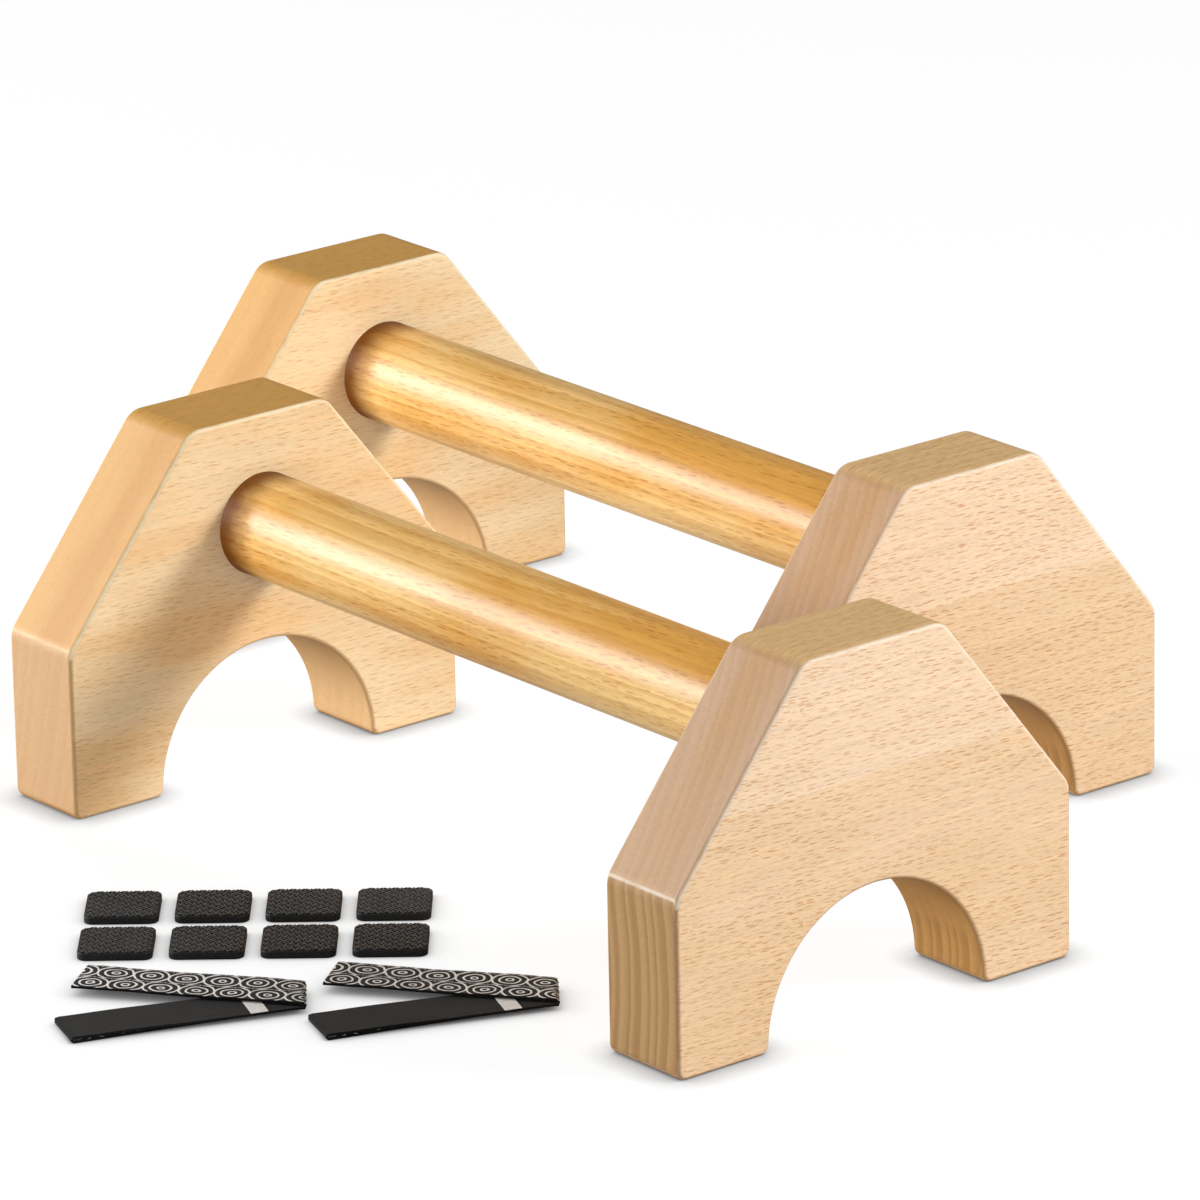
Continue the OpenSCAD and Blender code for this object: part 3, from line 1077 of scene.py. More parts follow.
@dataclass(frozen=True)
class PrintedTape:
    """Woven tape: white rings in offset rows on black on one side, plain black on the other."""

    black: Colour = (9, 9, 10)
    white: Colour = (246, 244, 241)
    plain: Colour = (11, 11, 11)
    plain_worn: Colour = (26, 26, 26)
    row_mm: float = 10.0
    along_row_mm: float = 12.5
    ring_mm: float = 2.1
    ring_width: float = 0.72
    line_share: float = 0.3
    line_soft: float = 0.05
    thread_turn: float = 12.6
    wobble_mm: Point = (5.0, 5.0, 5.0)
    wobble_by_mm: Point = (1.5, 1.5, 0.0)
    ink_mm: Point = (0.8, 0.8, 0.8)
    cloud_mm: Point = (9.0, 4.0, 4.0)

    def printed_material(self, name: str) -> Material:
        """Build the tape's printed side.

        Args:
            name: The material's name.

        Returns:
            The material.
        """
        s = Shader(name)
        at = self._flat(s)
        wobble = s.noise(at, self.wobble_mm, 1.0, coloured=True)
        along, across, _ = s.split(s.vector("MULTIPLY_ADD", wobble, self.wobble_by_mm, at))
        row = s.math("DIVIDE", across, self.row_mm)
        half_row = s.math("MULTIPLY", s.math("FLOOR", row), 0.5)
        place = s.math("ADD", s.math("DIVIDE", along, self.along_row_mm), half_row)
        off_along, off_across = (
            s.math("MULTIPLY", s.math("SUBTRACT", s.math("FRACT", part), 0.5), length)
            for part, length in ((place, self.along_row_mm), (row, self.row_mm))
        )
        squares = s.math(
            "ADD",
            s.math("MULTIPLY", off_along, s.math("MULTIPLY", off_along, self.ring_width)),
            s.math("MULTIPLY", off_across, off_across),
        )
        turn = s.math("PINGPONG", s.math("DIVIDE", s.math("SQRT", squares), self.ring_mm), 0.5)
        edge = 0.5 - self.line_share / 2
        line = s.span(turn, edge - self.line_soft, edge + self.line_soft)
        worn = s.span(s.noise(at, self.ink_mm, 2.0, 0.6), 0.25, 0.5, 0.75, 1.0)
        return self._cloth(s, at, s.mix(s.math("MULTIPLY", line, worn), self.black, self.white))

    def plain_material(self, name: str) -> Material:
        """Build the tape's plain black side.

        Args:
            name: The material's name.

        Returns:
            The material.
        """
        s = Shader(name)
        at = self._flat(s)
        worn = s.span(s.noise(at, self.cloud_mm), 0.35, 0.7, 0.0, 0.4)
        return self._cloth(s, at, s.mix(worn, self.plain, self.plain_worn))

    def _flat(self, s: Shader) -> Socket:
        """Give a shader the flat tape's own coordinates in millimetres."""
        return s.vector("SCALE", s.add("UVMap", uv_map="cut").outputs[0], scale=1 / MM)

    def _cloth(self, s: Shader, at: Socket, colour: Socket) -> Material:
        """Close a tape material with a plain weave of fine threads.

        Args:
            s: The shader that is built.
            at: The tape's own coordinates in millimetres.
            colour: The cloth's colour.

        Returns:
            The material.
        """
        warp, weft = (
            s.math("SINE", s.math("MULTIPLY", part, self.thread_turn)) for part in s.split(at)[:2]
        )
        weave = s.math("MULTIPLY_ADD", s.math("MULTIPLY", warp, weft), 0.5, 0.5)
        return s.finish(
            Base_Color=colour,
            Roughness=s.span(weave, 0.0, 1.0, 0.82, 0.66),
            Specular_IOR_Level=0.2,
            Sheen_Weight=0.08,
            Sheen_Roughness=0.4,
            Normal=s.bump(weave, 0.05, 0.7),
        )


@dataclass(frozen=True)
class Paper:
    """Off-white paper with faint fibres."""

    white: Colour = (246, 244, 240)
    grey: Colour = (232, 230, 225)
    fibre_mm: Point = (0.5, 0.25, 0.5)
    cloud_mm: Point = (3.0, 3.0, 3.0)

    def material(self, name: str) -> Material:
        """Build the paper.

        Args:
            name: The material's name.

        Returns:
            The material.
        """
        s = Shader(name)
        at = s.place()
        fibre = s.noise(at, self.fibre_mm, 3.0, 0.65)
        cloud = s.math("MULTIPLY", s.noise(at, self.cloud_mm), 0.5)
        shade = s.span(s.math("MULTIPLY_ADD", fibre, 0.5, cloud), 0.3, 0.75)
        return s.finish(
            Base_Color=s.mix(shade, self.white, self.grey),
            Roughness=s.span(fibre, 0.2, 0.8, 0.72, 0.86),
            Specular_IOR_Level=0.25,
            Normal=s.bump(fibre, 0.015),
        )


class Side(Enum):
    """Which end of a bar a block stands at, as the way from the bar's middle."""

    LEFT = -1
    RIGHT = 1


@dataclass
class EndBlock:
    """A beech end block: a rounded six-sided board with an arch, a blind mortise, a screw hole."""

    node: str
    side: Side
    finish: Beech
    width: float = 0.174
    shoulder: float = 0.063
    top_width: float = 0.061
    arch_radius: float = 0.0475
    arch_rise: float = 0.001
    corner: float = 0.0035
    shoulder_corner: float = 0.009
    edge: float = 0.0018
    mortise_depth: float = 0.025
    mortise_radius: float = 0.0191
    mortise_height: float = 0.093
    head_radius: float = 0.0049
    shank_radius: float = 0.0026
    head_sink: float = 0.001
    head_depth: float = 0.0023
    past: float = 2 * MM
    arch_steps: int = 88
    corner_steps: int = 12
    rim_steps: int = 5
    mortise_sides: int = 96
    hole_sides: int = 48
    smooth_to: float = 32.0

    def __post_init__(self) -> None:
        """Read the block's place from its CAD node, and lay the sole of its front foot there."""
        self.low, self.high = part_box(self.node)
        self.middle_y = (self.low.y + self.high.y) / 2
        self.inner_x = self.low.x if self.side is Side.RIGHT else self.high.x
        reach = self.arch_radius + self.corner
        self.foot_reach = math.sqrt(reach**2 - (self.corner - self.arch_rise) ** 2)
        inner, outer = -self.foot_reach, -self.width / 2 + self.corner
        middle = ((self.low.x + self.high.x) / 2, self.middle_y + (inner + outer) / 2, 0)
        Bench.clear()
        bpy.ops.mesh.primitive_plane_add(size=1, location=middle)
        scale = (self.high.x - self.low.x, inner - outer, 1)
        self.block = Bench.settle(bpy.context.object, scale)

    def build(self) -> None:
        """Model, dress and hand in the block."""
        self._outline()
        self._faces()
        self._mortise()
        self._screw_hole()
        Bench.close(self.block)
        Bench.smooth(self.block, self.smooth_to)
        wood = self.finish.material(self.node + "_wood", (self.low + self.high) / 2)
        Bench.hand_in(self.block, self.node + "_beech", "block_wood", self.node, wood)

    def _spin(self, centre: tuple[float, float], angle: float, steps: int) -> None:
        """Sweep the picked edge round Y and Z, by degrees from +Y towards up, in so many faces."""
        bpy.ops.mesh.spin(
            steps=steps,
            angle=-math.radians(angle),
            center=(0, self.middle_y + centre[0], centre[1]),
            axis=(1, 0, 0),
        )

    def _outline(self) -> None:
        """Carry the sole's inner edge round the arch and the outside, back to the sole."""
        reach = self.foot_reach
        Bench.pick_at(self.block, 1, self.middle_y - reach)
        sine = (self.corner - self.arch_rise) / (self.arch_radius + self.corner)
        rise = math.degrees(math.asin(sine))
        self._spin((-reach, self.corner), 90 - rise, self.corner_steps)
        self._spin((0, self.arch_rise), -(180 - 2 * rise), self.arch_steps)
        self._spin((reach, self.corner), 90 - rise, self.corner_steps)
        half, top = self.width / 2, self.top_width / 2
        path = [
            Vector(point) for point in (
                (reach, 0.0), (half, 0.0), (half, self.shoulder), (top, self.high.z),
                (-top, self.high.z), (-half, self.shoulder), (-half, 0.0), (-reach, 0.0),
            )
        ]
        tip = path[0]
        for corner, following in zip(path[1:], path[2:]):
            radius = self.shoulder_corner if corner.y > 0 else self.corner
            behind, ahead = (tip - corner).normalized(), (following - corner).normalized()
            opening = behind.angle(ahead)
            back_off = radius / math.tan(opening / 2)
            step = corner + behind * back_off - tip
            Bench.push(0, step.x, step.y)
            centre = corner + (behind + ahead).normalized() * (radius / math.sin(opening / 2))
            turn = 180 - math.degrees(opening)
            self._spin(centre[:], turn, max(3, round(self.corner_steps * turn / 90) + 1))
            tip = corner + ahead * back_off
        bpy.ops.object.mode_set(mode="OBJECT")
        Bench.close(self.block)

    def _faces(self) -> None:
        """Fill the two broad faces and round their edges, outside and round the arch."""
        for x in (self.low.x, self.high.x):
            Bench.pick_at(self.block, 0, x)
            bpy.ops.mesh.edge_face_add()
            bpy.ops.object.mode_set(mode="OBJECT")
        Bench.close(self.block)
        Bench.pick_at(self.block, 0, self.low.x, self.high.x)
        Bench.bevel(self.edge, self.rim_steps)

    def _mortise(self) -> None:
        """Bore the blind round mortise from the inner face."""
        x = self.inner_x + self.side.value * (self.mortise_depth - self.past) / 2
        middle = (x, self.middle_y, self.mortise_height)
        depth = self.mortise_depth + self.past
        Bench.carve(self.block, Bench.cylinder(
            self.mortise_sides, self.mortise_radius, depth, middle, lying=True
        ))

    def _screw_hole(self) -> None:
        """Bore the stepped hole for the lock screw, from the arch into the mortise."""
        x = self.inner_x + self.side.value * self.mortise_depth / 2
        seat = self.arch_rise + self.arch_radius + self.head_sink
        depth = self.head_sink + self.past
        middle = (x, self.middle_y, seat - depth / 2)
        hole = Bench.cylinder(self.hole_sides, self.head_radius, depth, middle, lying=False)
        Bench.settle(hole)
        Bench.pick_top(hole)
        Bench.push(0, 0, self.head_depth)
        neck = self.shank_radius / self.head_radius
        bpy.ops.transform.resize(value=(neck, neck, 1), center_override=(x, self.middle_y, seat))
        Bench.push(0, 0, self.mortise_height - self.mortise_radius / 2 - seat - self.head_depth)
        bpy.ops.object.mode_set(mode="OBJECT")
        Bench.carve(self.block, hole)


@dataclass
class GripBar:
    """The round varnished bar, with chamfered ends and a pilot hole for each lock screw."""

    node: str
    finish: Beech
    chamfer: float = 0.0015
    chamfer_steps: int = 2
    pilot_radius: float = 0.0019
    pilot_depth: float = 0.0161
    pilot_from_end: float = 0.0115
    past: float = 2 * MM
    sides: int = 160
    pilot_sides: int = 32
    smooth_to: float = 40.0

    def build(self) -> None:
        """Model, dress and hand in the bar."""
        low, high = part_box(self.node)
        centre = (low + high) / 2
        radius = (high.z - low.z) / 2
        bar = Bench.cylinder(self.sides, radius, high.x - low.x, centre, lying=True)
        Bench.settle(bar)
        Bench.pick_at(bar, 0, low.x, high.x)
        Bench.bevel(self.chamfer, self.chamfer_steps)
        depth = self.pilot_depth + self.past
        z = low.z + (self.pilot_depth - self.past) / 2
        for x in (low.x + self.pilot_from_end, high.x - self.pilot_from_end):
            Bench.carve(bar, Bench.cylinder(
                self.pilot_sides, self.pilot_radius, depth, (x, centre.y, z), lying=False
            ))
        Bench.close(bar)
        Bench.smooth(bar, self.smooth_to)
        wood = self.finish.material(self.node + "_wood", centre)
        Bench.hand_in(bar, self.node + "_varnished", "bar_wood", self.node, wood)


@dataclass
class Parallette:
    """One parallette: two end blocks, the bar between them and its two lock screws."""

    name: str
    shift: Point

    def build(self) -> None:
        """Build the wooden pieces and plate the screws."""
        for side, finish in ((Side.LEFT, LEFT_BLOCK_BEECH), (Side.RIGHT, RIGHT_BLOCK_BEECH)):
            node = f"{self.name}_{side.name.lower()}_block"
            EndBlock(node, side, self._varied(finish)).build()
        GripBar(f"{self.name}_bar", self._varied(BAR_BEECH)).build()
        zinc = Zinc().material(self.name + "_screw_zinc")
        for side in Side:
            node = f"{self.name}_{side.name.lower()}_screw"
            screw = frame["nodes"][node]
            screw.data.materials.clear()
            screw.data.materials.append(zinc)
            LOG.info("%s: kept as packed, %s", node, zinc.name)

    def _varied(self, finish: Beech) -> Beech:
        """Give the same wood from another board, with its pattern shifted."""
        return replace(finish, seed=tuple(a + b for a, b in zip(finish.seed, self.shift)))


@dataclass
class FootPads:
    """Eight square rubber pads with a raised diamond tread, modelled once and copied."""

    side: float = 0.026
    thick: float = 0.003
    corner: float = 0.0034
    corner_steps: int = 9
    tread: float = 0.0004
    pitch: float = 0.003
    rib: float = 0.0007
    rib_taper: float = 0.6
    stud: float = 0.0013
    stud_taper: float = 0.7
    border: float = 0.0007
    lip: float = 0.0003
    lip_steps: int = 3
    ribs_each_side: int = 5
    count: int = 8
    smooth_to: float = 30.0

    def build(self) -> None:
        """Model one pad and hand in a copy at each place."""
        pattern = self._plate()
        Bench.carve(pattern, self._treads(), "UNION")
        Bench.close(pattern)
        Bench.smooth(pattern, self.smooth_to)
        rubber = Rubber().material("pad_rubber", self.thick - self.tread, self.thick)
        for index in range(1, self.count + 1):
            node = f"foot_pad_{index}"
            low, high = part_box(node)
            pad = pattern.copy()
            pad.data = pattern.data.copy()
            bpy.context.scene.collection.objects.link(pad)
            middle = Matrix.Translation(((low.x + high.x) / 2, (low.y + high.y) / 2, 0.0))
            pad.data.transform(middle @ Matrix.Rotation(ROWS_TURN, 4, "Z"))
            pad.data.update()
            Bench.hand_in(pad, node + "_rubber", "pad_rubber", node, rubber)
        bpy.data.objects.remove(pattern)

    def _rounded_plate(self, side: float, corner: float, low: float, high: float) -> Object:
        """Make a square plate with rounded corners.

        Args:
            side: Its side.
            corner: The radius of its corners.
            low: The height of its underside.
            high: The height of its top.

        Returns:
            The plate.
        """
        plate = Bench.box((side, side, high - low), (0, 0, (low + high) / 2))
        Bench.pick(plate, "EDGE", lambda a, b: abs(a.z - b.z) > TINY)
        Bench.bevel(corner, self.corner_steps)
        return plate

    def _plate(self) -> Object:
        """Make the pad's plate, with a soft lip above and below.

        Returns:
            The plate.
        """
        top = self.thick - self.tread
        plate = self._rounded_plate(self.side, self.corner, 0.0, top)
        for height in (0.0, top):
            Bench.pick_at(plate, 2, height)
            Bench.bevel(self.lip, self.lip_steps)
        return plate

    def _row(
        self, x: float, y: float, taper: tuple[float, float], count: int, *ways: Point
    ) -> Object:
        """Make a bar of the tread, narrower at its crest, and repeat it round its own middle.

        Args:
            x: Its length along X.
            y: Its length along Y.
            taper: The share of both lengths that is left at the crest.
            count: The number of bars in a row.
            *ways: The step from one bar to the next, for each direction of repeating.

        Returns:
            The bars, standing a little inside the plate.
        """
        height = self.tread + self.lip
        bars = Bench.box((x, y, height), (0, 0, self.thick - height / 2))
        Bench.pick_top(bars)
        bpy.ops.transform.resize(value=(*taper, 1), center_override=(0, 0, self.thick))
        bpy.ops.object.mode_set(mode="OBJECT")
        for way in ways:
            Bench.apply(
                bars, "ARRAY", count=count, use_relative_offset=False, use_constant_offset=True,
                constant_offset_displace=way,
            )
            bars.data.transform(Matrix.Translation(Vector(way) * (-(count - 1) / 2)))
        return bars

    def _treads(self) -> Object:
        """Cross the ribs, set a stud in each diamond and trim them to the tread's square.

        Returns:
            The tread.
        """
        long, count = self.side * math.sqrt(2), 2 * self.ribs_each_side + 1
        along_x, along_y = (self.pitch, 0, 0), (0, self.pitch, 0)
        ribs = self._row(self.rib, long, (self.rib_taper, 1), count, along_x)
        crossing = self._row(long, self.rib, (1, self.rib_taper), count, along_y)
        taper = (self.stud_taper, self.stud_taper)
        studs = self._row(self.stud, self.stud, taper, count - 1, along_x, along_y)
        Bench.carve(ribs, crossing, "UNION")
        Bench.carve(ribs, studs, "UNION")
        ribs.data.transform(Matrix.Rotation(math.pi / 4, 4, "Z"))
        trim = self._rounded_plate(
            self.side - 2 * self.border, self.corner - self.border,
            self.thick - 2 * self.tread, self.thick + MM,
        )
        Bench.carve(ribs, trim, "INTERSECT")
        return ribs


@dataclass
class GripTape:
    """A cloth grip tape folded in three: printed top arm, plain middle arm, printed bottom arm."""

    node: str
    tab_node: str
    printed: Material
    plain: Material
    paper: Material
    width: float = 0.020
    thick: float = 0.0009
    layer_step: float = 0.0015
    lowest: float = 0.0005
    lengths: tuple[float, float, float] = (0.079, 0.083, 0.074)
    headings: tuple[float, float, float] = (-13.0, 198.0, 22.0)
    tab_width: float = 0.006
    tab_thick: float = 0.0002
    tab_gap: float = 0.00003
    tab_from_fold: float = 0.015
    tab_rows: int = 8
    wave: float = 0.0004
    long_wave: Point = (118.0, 40.0, 0.6)
    short_wave: Point = (310.0, -150.0, 0.0)
    step_along: float = 0.0012
    across: int = 14
    smooth_to: float = 50.0

    def __post_init__(self) -> None:
        """Work out the three arms' middle lines and where each fold starts along the tape."""
        turns = [math.radians(heading) for heading in self.headings]
        self.ways = [Vector((math.cos(turn), math.sin(turn))) for turn in turns]
        self.points = [Vector((0.0, 0.0))]
        for way, length in zip(self.ways, self.lengths):
            self.points.append(self.points[-1] + way * length)
        self.radius = self.layer_step / 2
        self.folds = []
        self.starts = [0.0]
        for index, (before, after) in enumerate(zip(self.ways, self.ways[1:])):
            outward = (before - after).normalized()
            self.folds.append(((before + after).normalized(), outward))
            arc = math.pi * self.radius / before.dot(outward)
            self.starts.append(self.starts[-1] + self.lengths[index] + arc)
        self.shift = Vector(ORIGIN)

    def build(self) -> None:
        """Model, dress and hand in the tape and its tab."""
        total = self.starts[-1] + self.lengths[2]
        tape = self._strip(self.node, 0.0, total, round(total / self.step_along), self._surface)
        self._line_up(tape)
        for material in (self.printed, self.plain):
            tape.data.materials.append(material)
        self._thicken(tape, self.thick)
        self._turn_print_up(tape)
        Bench.hand_in(tape, self.node + "_cloth", "tape_cloth", self.node)
        tab = self._tab()
        LOG.info("%s: %.1f mm of tape", tape.name, total / MM)

    def _lift(self, x: float, y: float, layer: float) -> float:
        """Give the soft waves of the cloth, larger in the upper layers.

        Args:
            x: Place along the row from the tape's start.
            y: Place across the row.
            layer: 0 for the bottom layer, 1 for the top one.

        Returns:
            The height above the flat layer.
        """
        long, short = (
            0.5 + 0.5 * math.sin(x * by_x + y * by_y + start)
            for by_x, by_y, start in (self.long_wave, self.short_wave)
        )
        return self.wave * (0.25 + 0.75 * layer) * (0.75 * long + 0.25 * short)

    def _surface(self, s: float, v: float) -> tuple[Vector, float]:
        """Give a point of the folded tape's middle surface.

        Args:
            s: Distance along the flat tape.
            v: Distance from its middle line.

        Returns:
            The point, and the layer as a number from 0 at the bottom to 1 at the top.
        """
        for index, way in enumerate(self.ways):
            left = Vector((-way.y, way.x)) * (-1) ** index
            at = self.points[index] + way * (s - self.starts[index]) + left * v
            top = self.lowest + self.layer_step * (2 - index)
            if index == len(self.folds):
                break
            crease, outward = self.folds[index]
            off = at - self.points[index + 1]
            beyond = off.dot(outward)
            if beyond <= 0:
                break
            if beyond < math.pi * self.radius:
                turn = beyond / self.radius
                out = self.points[index + 1] + crease * off.dot(crease)
                out += outward * (self.radius * math.sin(turn))
                down = self.radius * (1 - math.cos(turn))
                return Vector((out.x, out.y, top - down)), 1 - index / 2 - down / (4 * self.radius)
        return Vector((at.x, at.y, top)), 1 - index / 2

    def _strip(
        self, name: str, start: float, end: float, rows: int,
        surface: Callable[[float, float], tuple[Vector, float]],
    ) -> Object:
        """Make a grid of faces over a stretch of the tape, with its flat place as UV in metres.

        Args:
            name: The mesh's name.
            start: Where the stretch starts along the tape.
            end: Where it ends.
            rows: The number of faces along it.
            surface: Gives a point from its flat place.

        Returns:
            The open sheet.
        """
        flat, points = [], []
        for i in range(rows + 1):
            s = start + (end - start) * i / rows
            for j in range(self.across + 1):
                v = self.width * (j / self.across - 0.5)
                point, layer = surface(s, v)
                point.z += self._lift(point.x, point.y, layer)
                flat.append((s, v + self.width / 2))
                points.append(point)
        n = self.across + 1
        faces = [
            (i * n + j, (i + 1) * n + j, (i + 1) * n + j + 1, i * n + j + 1)
            for i in range(rows) for j in range(self.across)
        ]
        mesh = bpy.data.meshes.new(name)
        mesh.from_pydata(points, [], faces)
        cut = mesh.uv_layers.new(name="cut")
        for loop in mesh.loops:
            cut.data[loop.index].uv = flat[loop.vertex_index]
        piece = bpy.data.objects.new(name, mesh)
        bpy.context.scene.collection.objects.link(piece)
        return piece

    def _line_up(self, tape: Object) -> None:
        """Turn the tape into line with the rows, over its CAD node.

        Args:
            tape: The open sheet round the origin.
        """
        low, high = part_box(self.node)
        tape.data.transform(Matrix.Rotation(ROWS_TURN, 4, "Z"))
        xs, ys = ([vertex.co[axis] for vertex in tape.data.vertices] for axis in (0, 1))
        self.shift.x = (low.x + high.x - min(xs) - max(xs)) / 2
        self.shift.y = (low.y + high.y - min(ys) - max(ys)) / 2
        tape.data.transform(Matrix.Translation(self.shift))

    def _thicken(self, sheet: Object, thick: float) -> None:
        """Give an open sheet its thickness, half to each side, and shade it smoothly."""
        Bench.apply(
            sheet, "SOLIDIFY", thickness=thick, offset=0.0, material_offset=1, material_offset_rim=1
        )
        bpy.ops.object.shade_smooth_by_angle(angle=math.radians(self.smooth_to))

    def _turn_print_up(self, tape: Object) -> None:
        """Swap the sides' materials if the printed one isn't uppermost on the top arm.

        Args:
            tape: The thick tape, with one material on each side.
        """
        highest = max(tape.data.polygons, key=lambda face: face.center.z + face.normal.z)
        if highest.material_index != 0:
            for face in tape.data.polygons:
                face.material_index = 1 - face.material_index

    def _tab(self) -> Object:
        """Model, dress and hand in the paper tab on the plain side of the middle arm.

        Returns:
            The tab.
        """
        start = self.starts[1] + self.tab_from_fold
        above = self.thick / 2 + self.tab_thick / 2 + self.tab_gap

        def on_tape(s: float, v: float) -> tuple[Vector, float]:
            """Give a point just above the middle arm."""
            point, layer = self._surface(s, v)
            return point + Vector((0, 0, above)), layer

        tab = self._strip(self.tab_node, start, start + self.tab_width, self.tab_rows, on_tape)
        turn = Matrix.Rotation(ROWS_TURN, 4, "Z")
        tab.data.transform(Matrix.Translation(self.shift) @ turn)
        self._thicken(tab, self.tab_thick)
        Bench.close(tab)
        Bench.hand_in(tab, self.tab_node + "_paper", "tab_paper", self.tab_node, self.paper)
        return tab


@dataclass(frozen=True)
class Softbox:
    """A large soft lamp.

    A lamp that names pieces in `lit` and `shading` lights, and is shaded by, only those whose
    names start so.
    """

    name: str
    way: Point
    side: float
    watts: float
    lit: tuple[str, ...] = ()
    shading: tuple[str, ...] = ()
    distance: float = 2.2

    def build(self, target: Vector) -> None:
        """Set the lamp up, facing the object.

        Args:
            target: What it faces.
        """
        data = bpy.data.lights.new(self.name, "AREA")
        data.shape, data.size, data.energy = "SQUARE", self.side, self.watts
        lamp = bpy.data.objects.new(self.name, data)
        bpy.context.scene.collection.objects.link(lamp)
        way = Vector(self.way).normalized()
        lamp.location = target + way * self.distance
        lamp.rotation_euler = way.to_track_quat("Z", "Y").to_euler()
        if self.lit:
            lamp.light_linking.receiver_collection = self._group("_lit", self.lit)
            lamp.light_linking.blocker_collection = self._group("_shading", self.shading)
        LOG.info("%s: %.1f W", self.name, self.watts)

    def _group(self, suffix: str, starts: tuple[str, ...]) -> bpy.types.Collection:
        """Gather the pieces whose names start in one of the given ways.

        Args:
            suffix: What the group's name adds to the lamp's.
            starts: The starts of the pieces' names.

        Returns:
            The group.
        """
        group = bpy.data.collections.new(self.name + suffix)
        for piece in bpy.context.scene.objects:
            if piece.type == "MESH" and piece.name.startswith(starts):
                group.objects.link(piece)
        return group


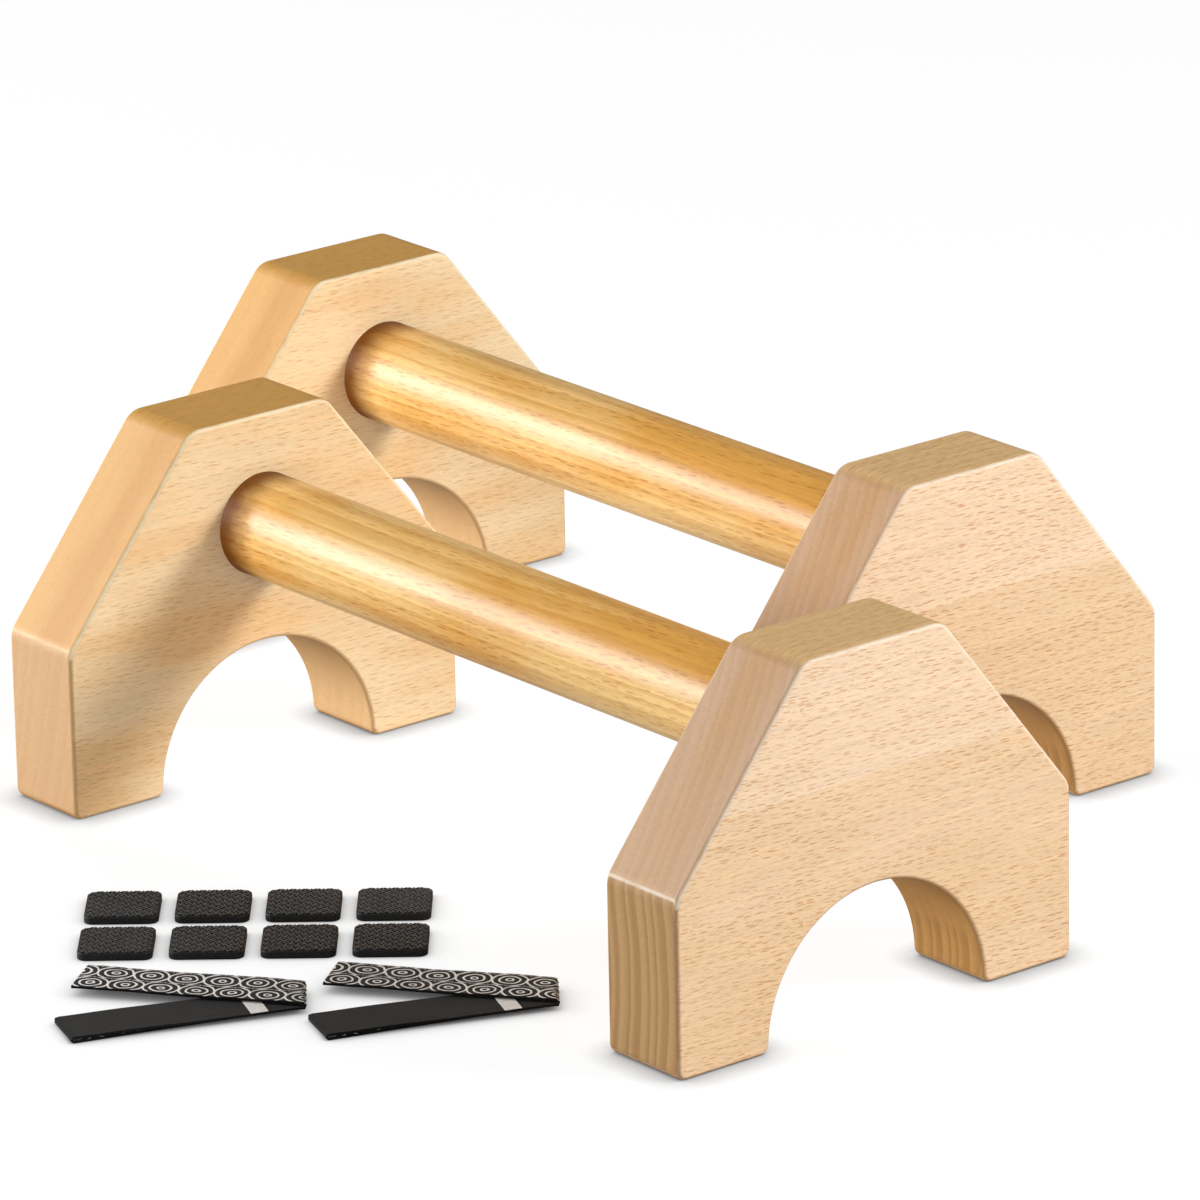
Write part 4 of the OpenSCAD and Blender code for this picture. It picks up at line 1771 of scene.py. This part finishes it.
@dataclass
class Studio:
    """White floor, soft lamps, pale surroundings and the camera at the photograph's angle."""

    target: Vector = field(default_factory=lambda: Vector((-0.00292, 0.07522, 0.067)))
    azimuth: float = 51.12
    elevation: float = 18.75
    roll: float = -1.13
    distance: float = 3.2304
    lens: float = 270.0
    sensor: float = 36.0
    farthest: float = 100.0
    floor_side: float = 40.0
    floor_bounce: float = 0.5
    floor_glow: float = 0.9
    floor_shade: float = 0.14
    contact_reach: float = 0.012
    contact_samples: int = 8
    horizon: float = 0.15
    overhead: float = 0.05
    mirrored_horizon: float = 0.28
    mirrored_overhead: float = 0.1
    mirrored_to: float = 0.8
    bright_way: Point = (0.3, -0.3, 0.0)
    kit: tuple[str, ...] = ("foot_pad_", "left_", "right_")

    def build(self) -> None:
        """Set up the floor, lamps, surroundings and camera."""
        self._floor()
        for lamp in self._lamps():
            lamp.build(self.target)
        self._surroundings()
        self._camera()
        bpy.context.scene.view_settings.view_transform = "Standard"

    def _lamps(self) -> Sequence[Softbox]:
        """Choose the lamps: a key for each parallette, a fill, and a strip for the bars.

        Returns:
            The lamps.
        """
        key = (0.71, 0.5, 0.5)
        near, far = ("near_", *self.kit), ("far_",)
        strip_shaded_by = ("near_bar", "near_right", "far_bar", "far_right", *self.kit)
        return (
            Softbox("near_key_from_the_right", key, 0.65, 38.0, (*near, "floor"), near),
            Softbox("far_key_from_the_right", key, 0.65, 38.0, far, far),
            Softbox("fill_by_the_camera", (0.80, -0.50, 0.34), 0.9, 5.0),
            Softbox(
                "strip_for_the_bars", (-0.737, -0.617, 0.275), 1.0, 57.0,
                (*near, *far, "floor"), strip_shaded_by,
            ),
        )

    def _floor(self) -> None:
        """Lay the floor: white to the camera, with the object's faint soft shadows and painted
        shade close under it.
        """
        Bench.clear()
        bpy.ops.mesh.primitive_plane_add(size=self.floor_side, location=ORIGIN)
        floor = bpy.context.object
        floor.name = "floor"
        s = Shader("floor_white")
        path = s.add("LightPath")
        seen = s.math("MAXIMUM", path.outputs["Is Camera Ray"], path.outputs["Is Transmission Ray"])
        plain, faint = (
            s.fill(s.add("BsdfDiffuse"), (grey, grey, grey, 1.0)).outputs[0]
            for grey in (self.floor_bounce, self.floor_shade)
        )
        # Painted shade where the pieces touch the floor: ambient occlusion dims the floor's glow
        # close under them.
        contact_shade = s.add("AmbientOcclusion", samples=self.contact_samples)
        contact_shade.inputs["Distance"].default_value = self.contact_reach
        glow = s.add("Emission")
        strength = s.math("MULTIPLY", contact_shade.outputs["AO"], self.floor_glow)
        s.put(strength, glow.inputs["Strength"])
        white = s.fill(s.add("AddShader"), faint, glow.outputs[0]).outputs[0]
        s.show(s.fill(s.add("MixShader"), seen, plain, white))
        floor.data.materials.append(s.owner)
        LOG.info("floor: %.0f m across", self.floor_side)

    def _surroundings(self) -> None:
        """Light softly from the horizon, less from above, and show white to the camera."""
        s = Shader("pale_room", world=True)
        bpy.context.scene.world = s.owner
        way = s.add("TexCoord").outputs["Generated"]
        up = s.split(way)[2]
        fade = s.span(up, 0.0, 1.0, self.horizon, self.overhead, "LINEAR")
        lean = s.math("MULTIPLY_ADD", s.vector("DOT_PRODUCT", way, self.bright_way), fade, fade)
        high, low = self.mirrored_overhead, self.mirrored_horizon
        mirrored = s.span(up, 0.0, self.mirrored_to, low, high, "LINEAR")
        path = s.add("LightPath")
        camera, glossy = (path.outputs[f"Is {kind} Ray"] for kind in ("Camera", "Glossy"))
        shown = s.add("Mix")
        for value, index in ((glossy, 0), (1.0, 2), (mirrored, 3)):
            s.put(value, shown.inputs[index])
        room, white = (
            s.fill(s.add("Background"), (1.0, 1.0, 1.0, 1.0), strength).outputs[0]
            for strength in (lean, shown.outputs[0])
        )
        seen = s.math("MAXIMUM", camera, glossy)
        s.show(s.fill(s.add("MixShader"), seen, room, white), "OutputWorld")
        LOG.info("surroundings: pale, darker overhead")

    def _camera(self) -> None:
        """Stand the camera where the photograph was taken from."""
        azimuth, elevation, roll = (
            math.radians(angle) for angle in (self.azimuth, self.elevation, self.roll)
        )
        flat = math.cos(elevation)
        back = Vector((math.sin(azimuth) * flat, -math.cos(azimuth) * flat, math.sin(elevation)))
        level = (-back).cross(Vector((0, 0, 1))).normalized()
        upright = level.cross(-back)
        right = level * math.cos(roll) + upright * math.sin(roll)
        up = upright * math.cos(roll) - level * math.sin(roll)
        data = bpy.data.cameras.new("camera")
        data.lens, data.sensor_width, data.clip_end = self.lens, self.sensor, self.farthest
        camera = bpy.data.objects.new("camera", data)
        bpy.context.scene.collection.objects.link(camera)
        place = Matrix((right, up, back)).transposed().to_4x4()
        place.translation = self.target + back * self.distance
        camera.matrix_world = place
        bpy.context.scene.camera = camera
        LOG.info("camera: %.2f degrees round, %.2f degrees up", self.azimuth, self.elevation)


def build_tapes() -> None:
    """Build the two grip tapes with their paper tabs."""
    cloth = PrintedTape()
    for side in ("left", "right"):
        GripTape(
            node=f"{side}_grip_tape",
            tab_node=f"{side}_tape_tab",
            printed=cloth.printed_material(side + "_tape_print"),
            plain=cloth.plain_material(side + "_tape_plain"),
            paper=Paper().material(side + "_tab_paper"),
        ).build()


def main() -> None:
    logging.basicConfig(level=logging.INFO, format="%(name)s %(message)s")
    Parallette("near", ORIGIN).build()
    Parallette("far", (21.3, 9.4, 33.8)).build()
    FootPads().build()
    build_tapes()
    Studio().build()


if __name__ == "__main__":
    main()
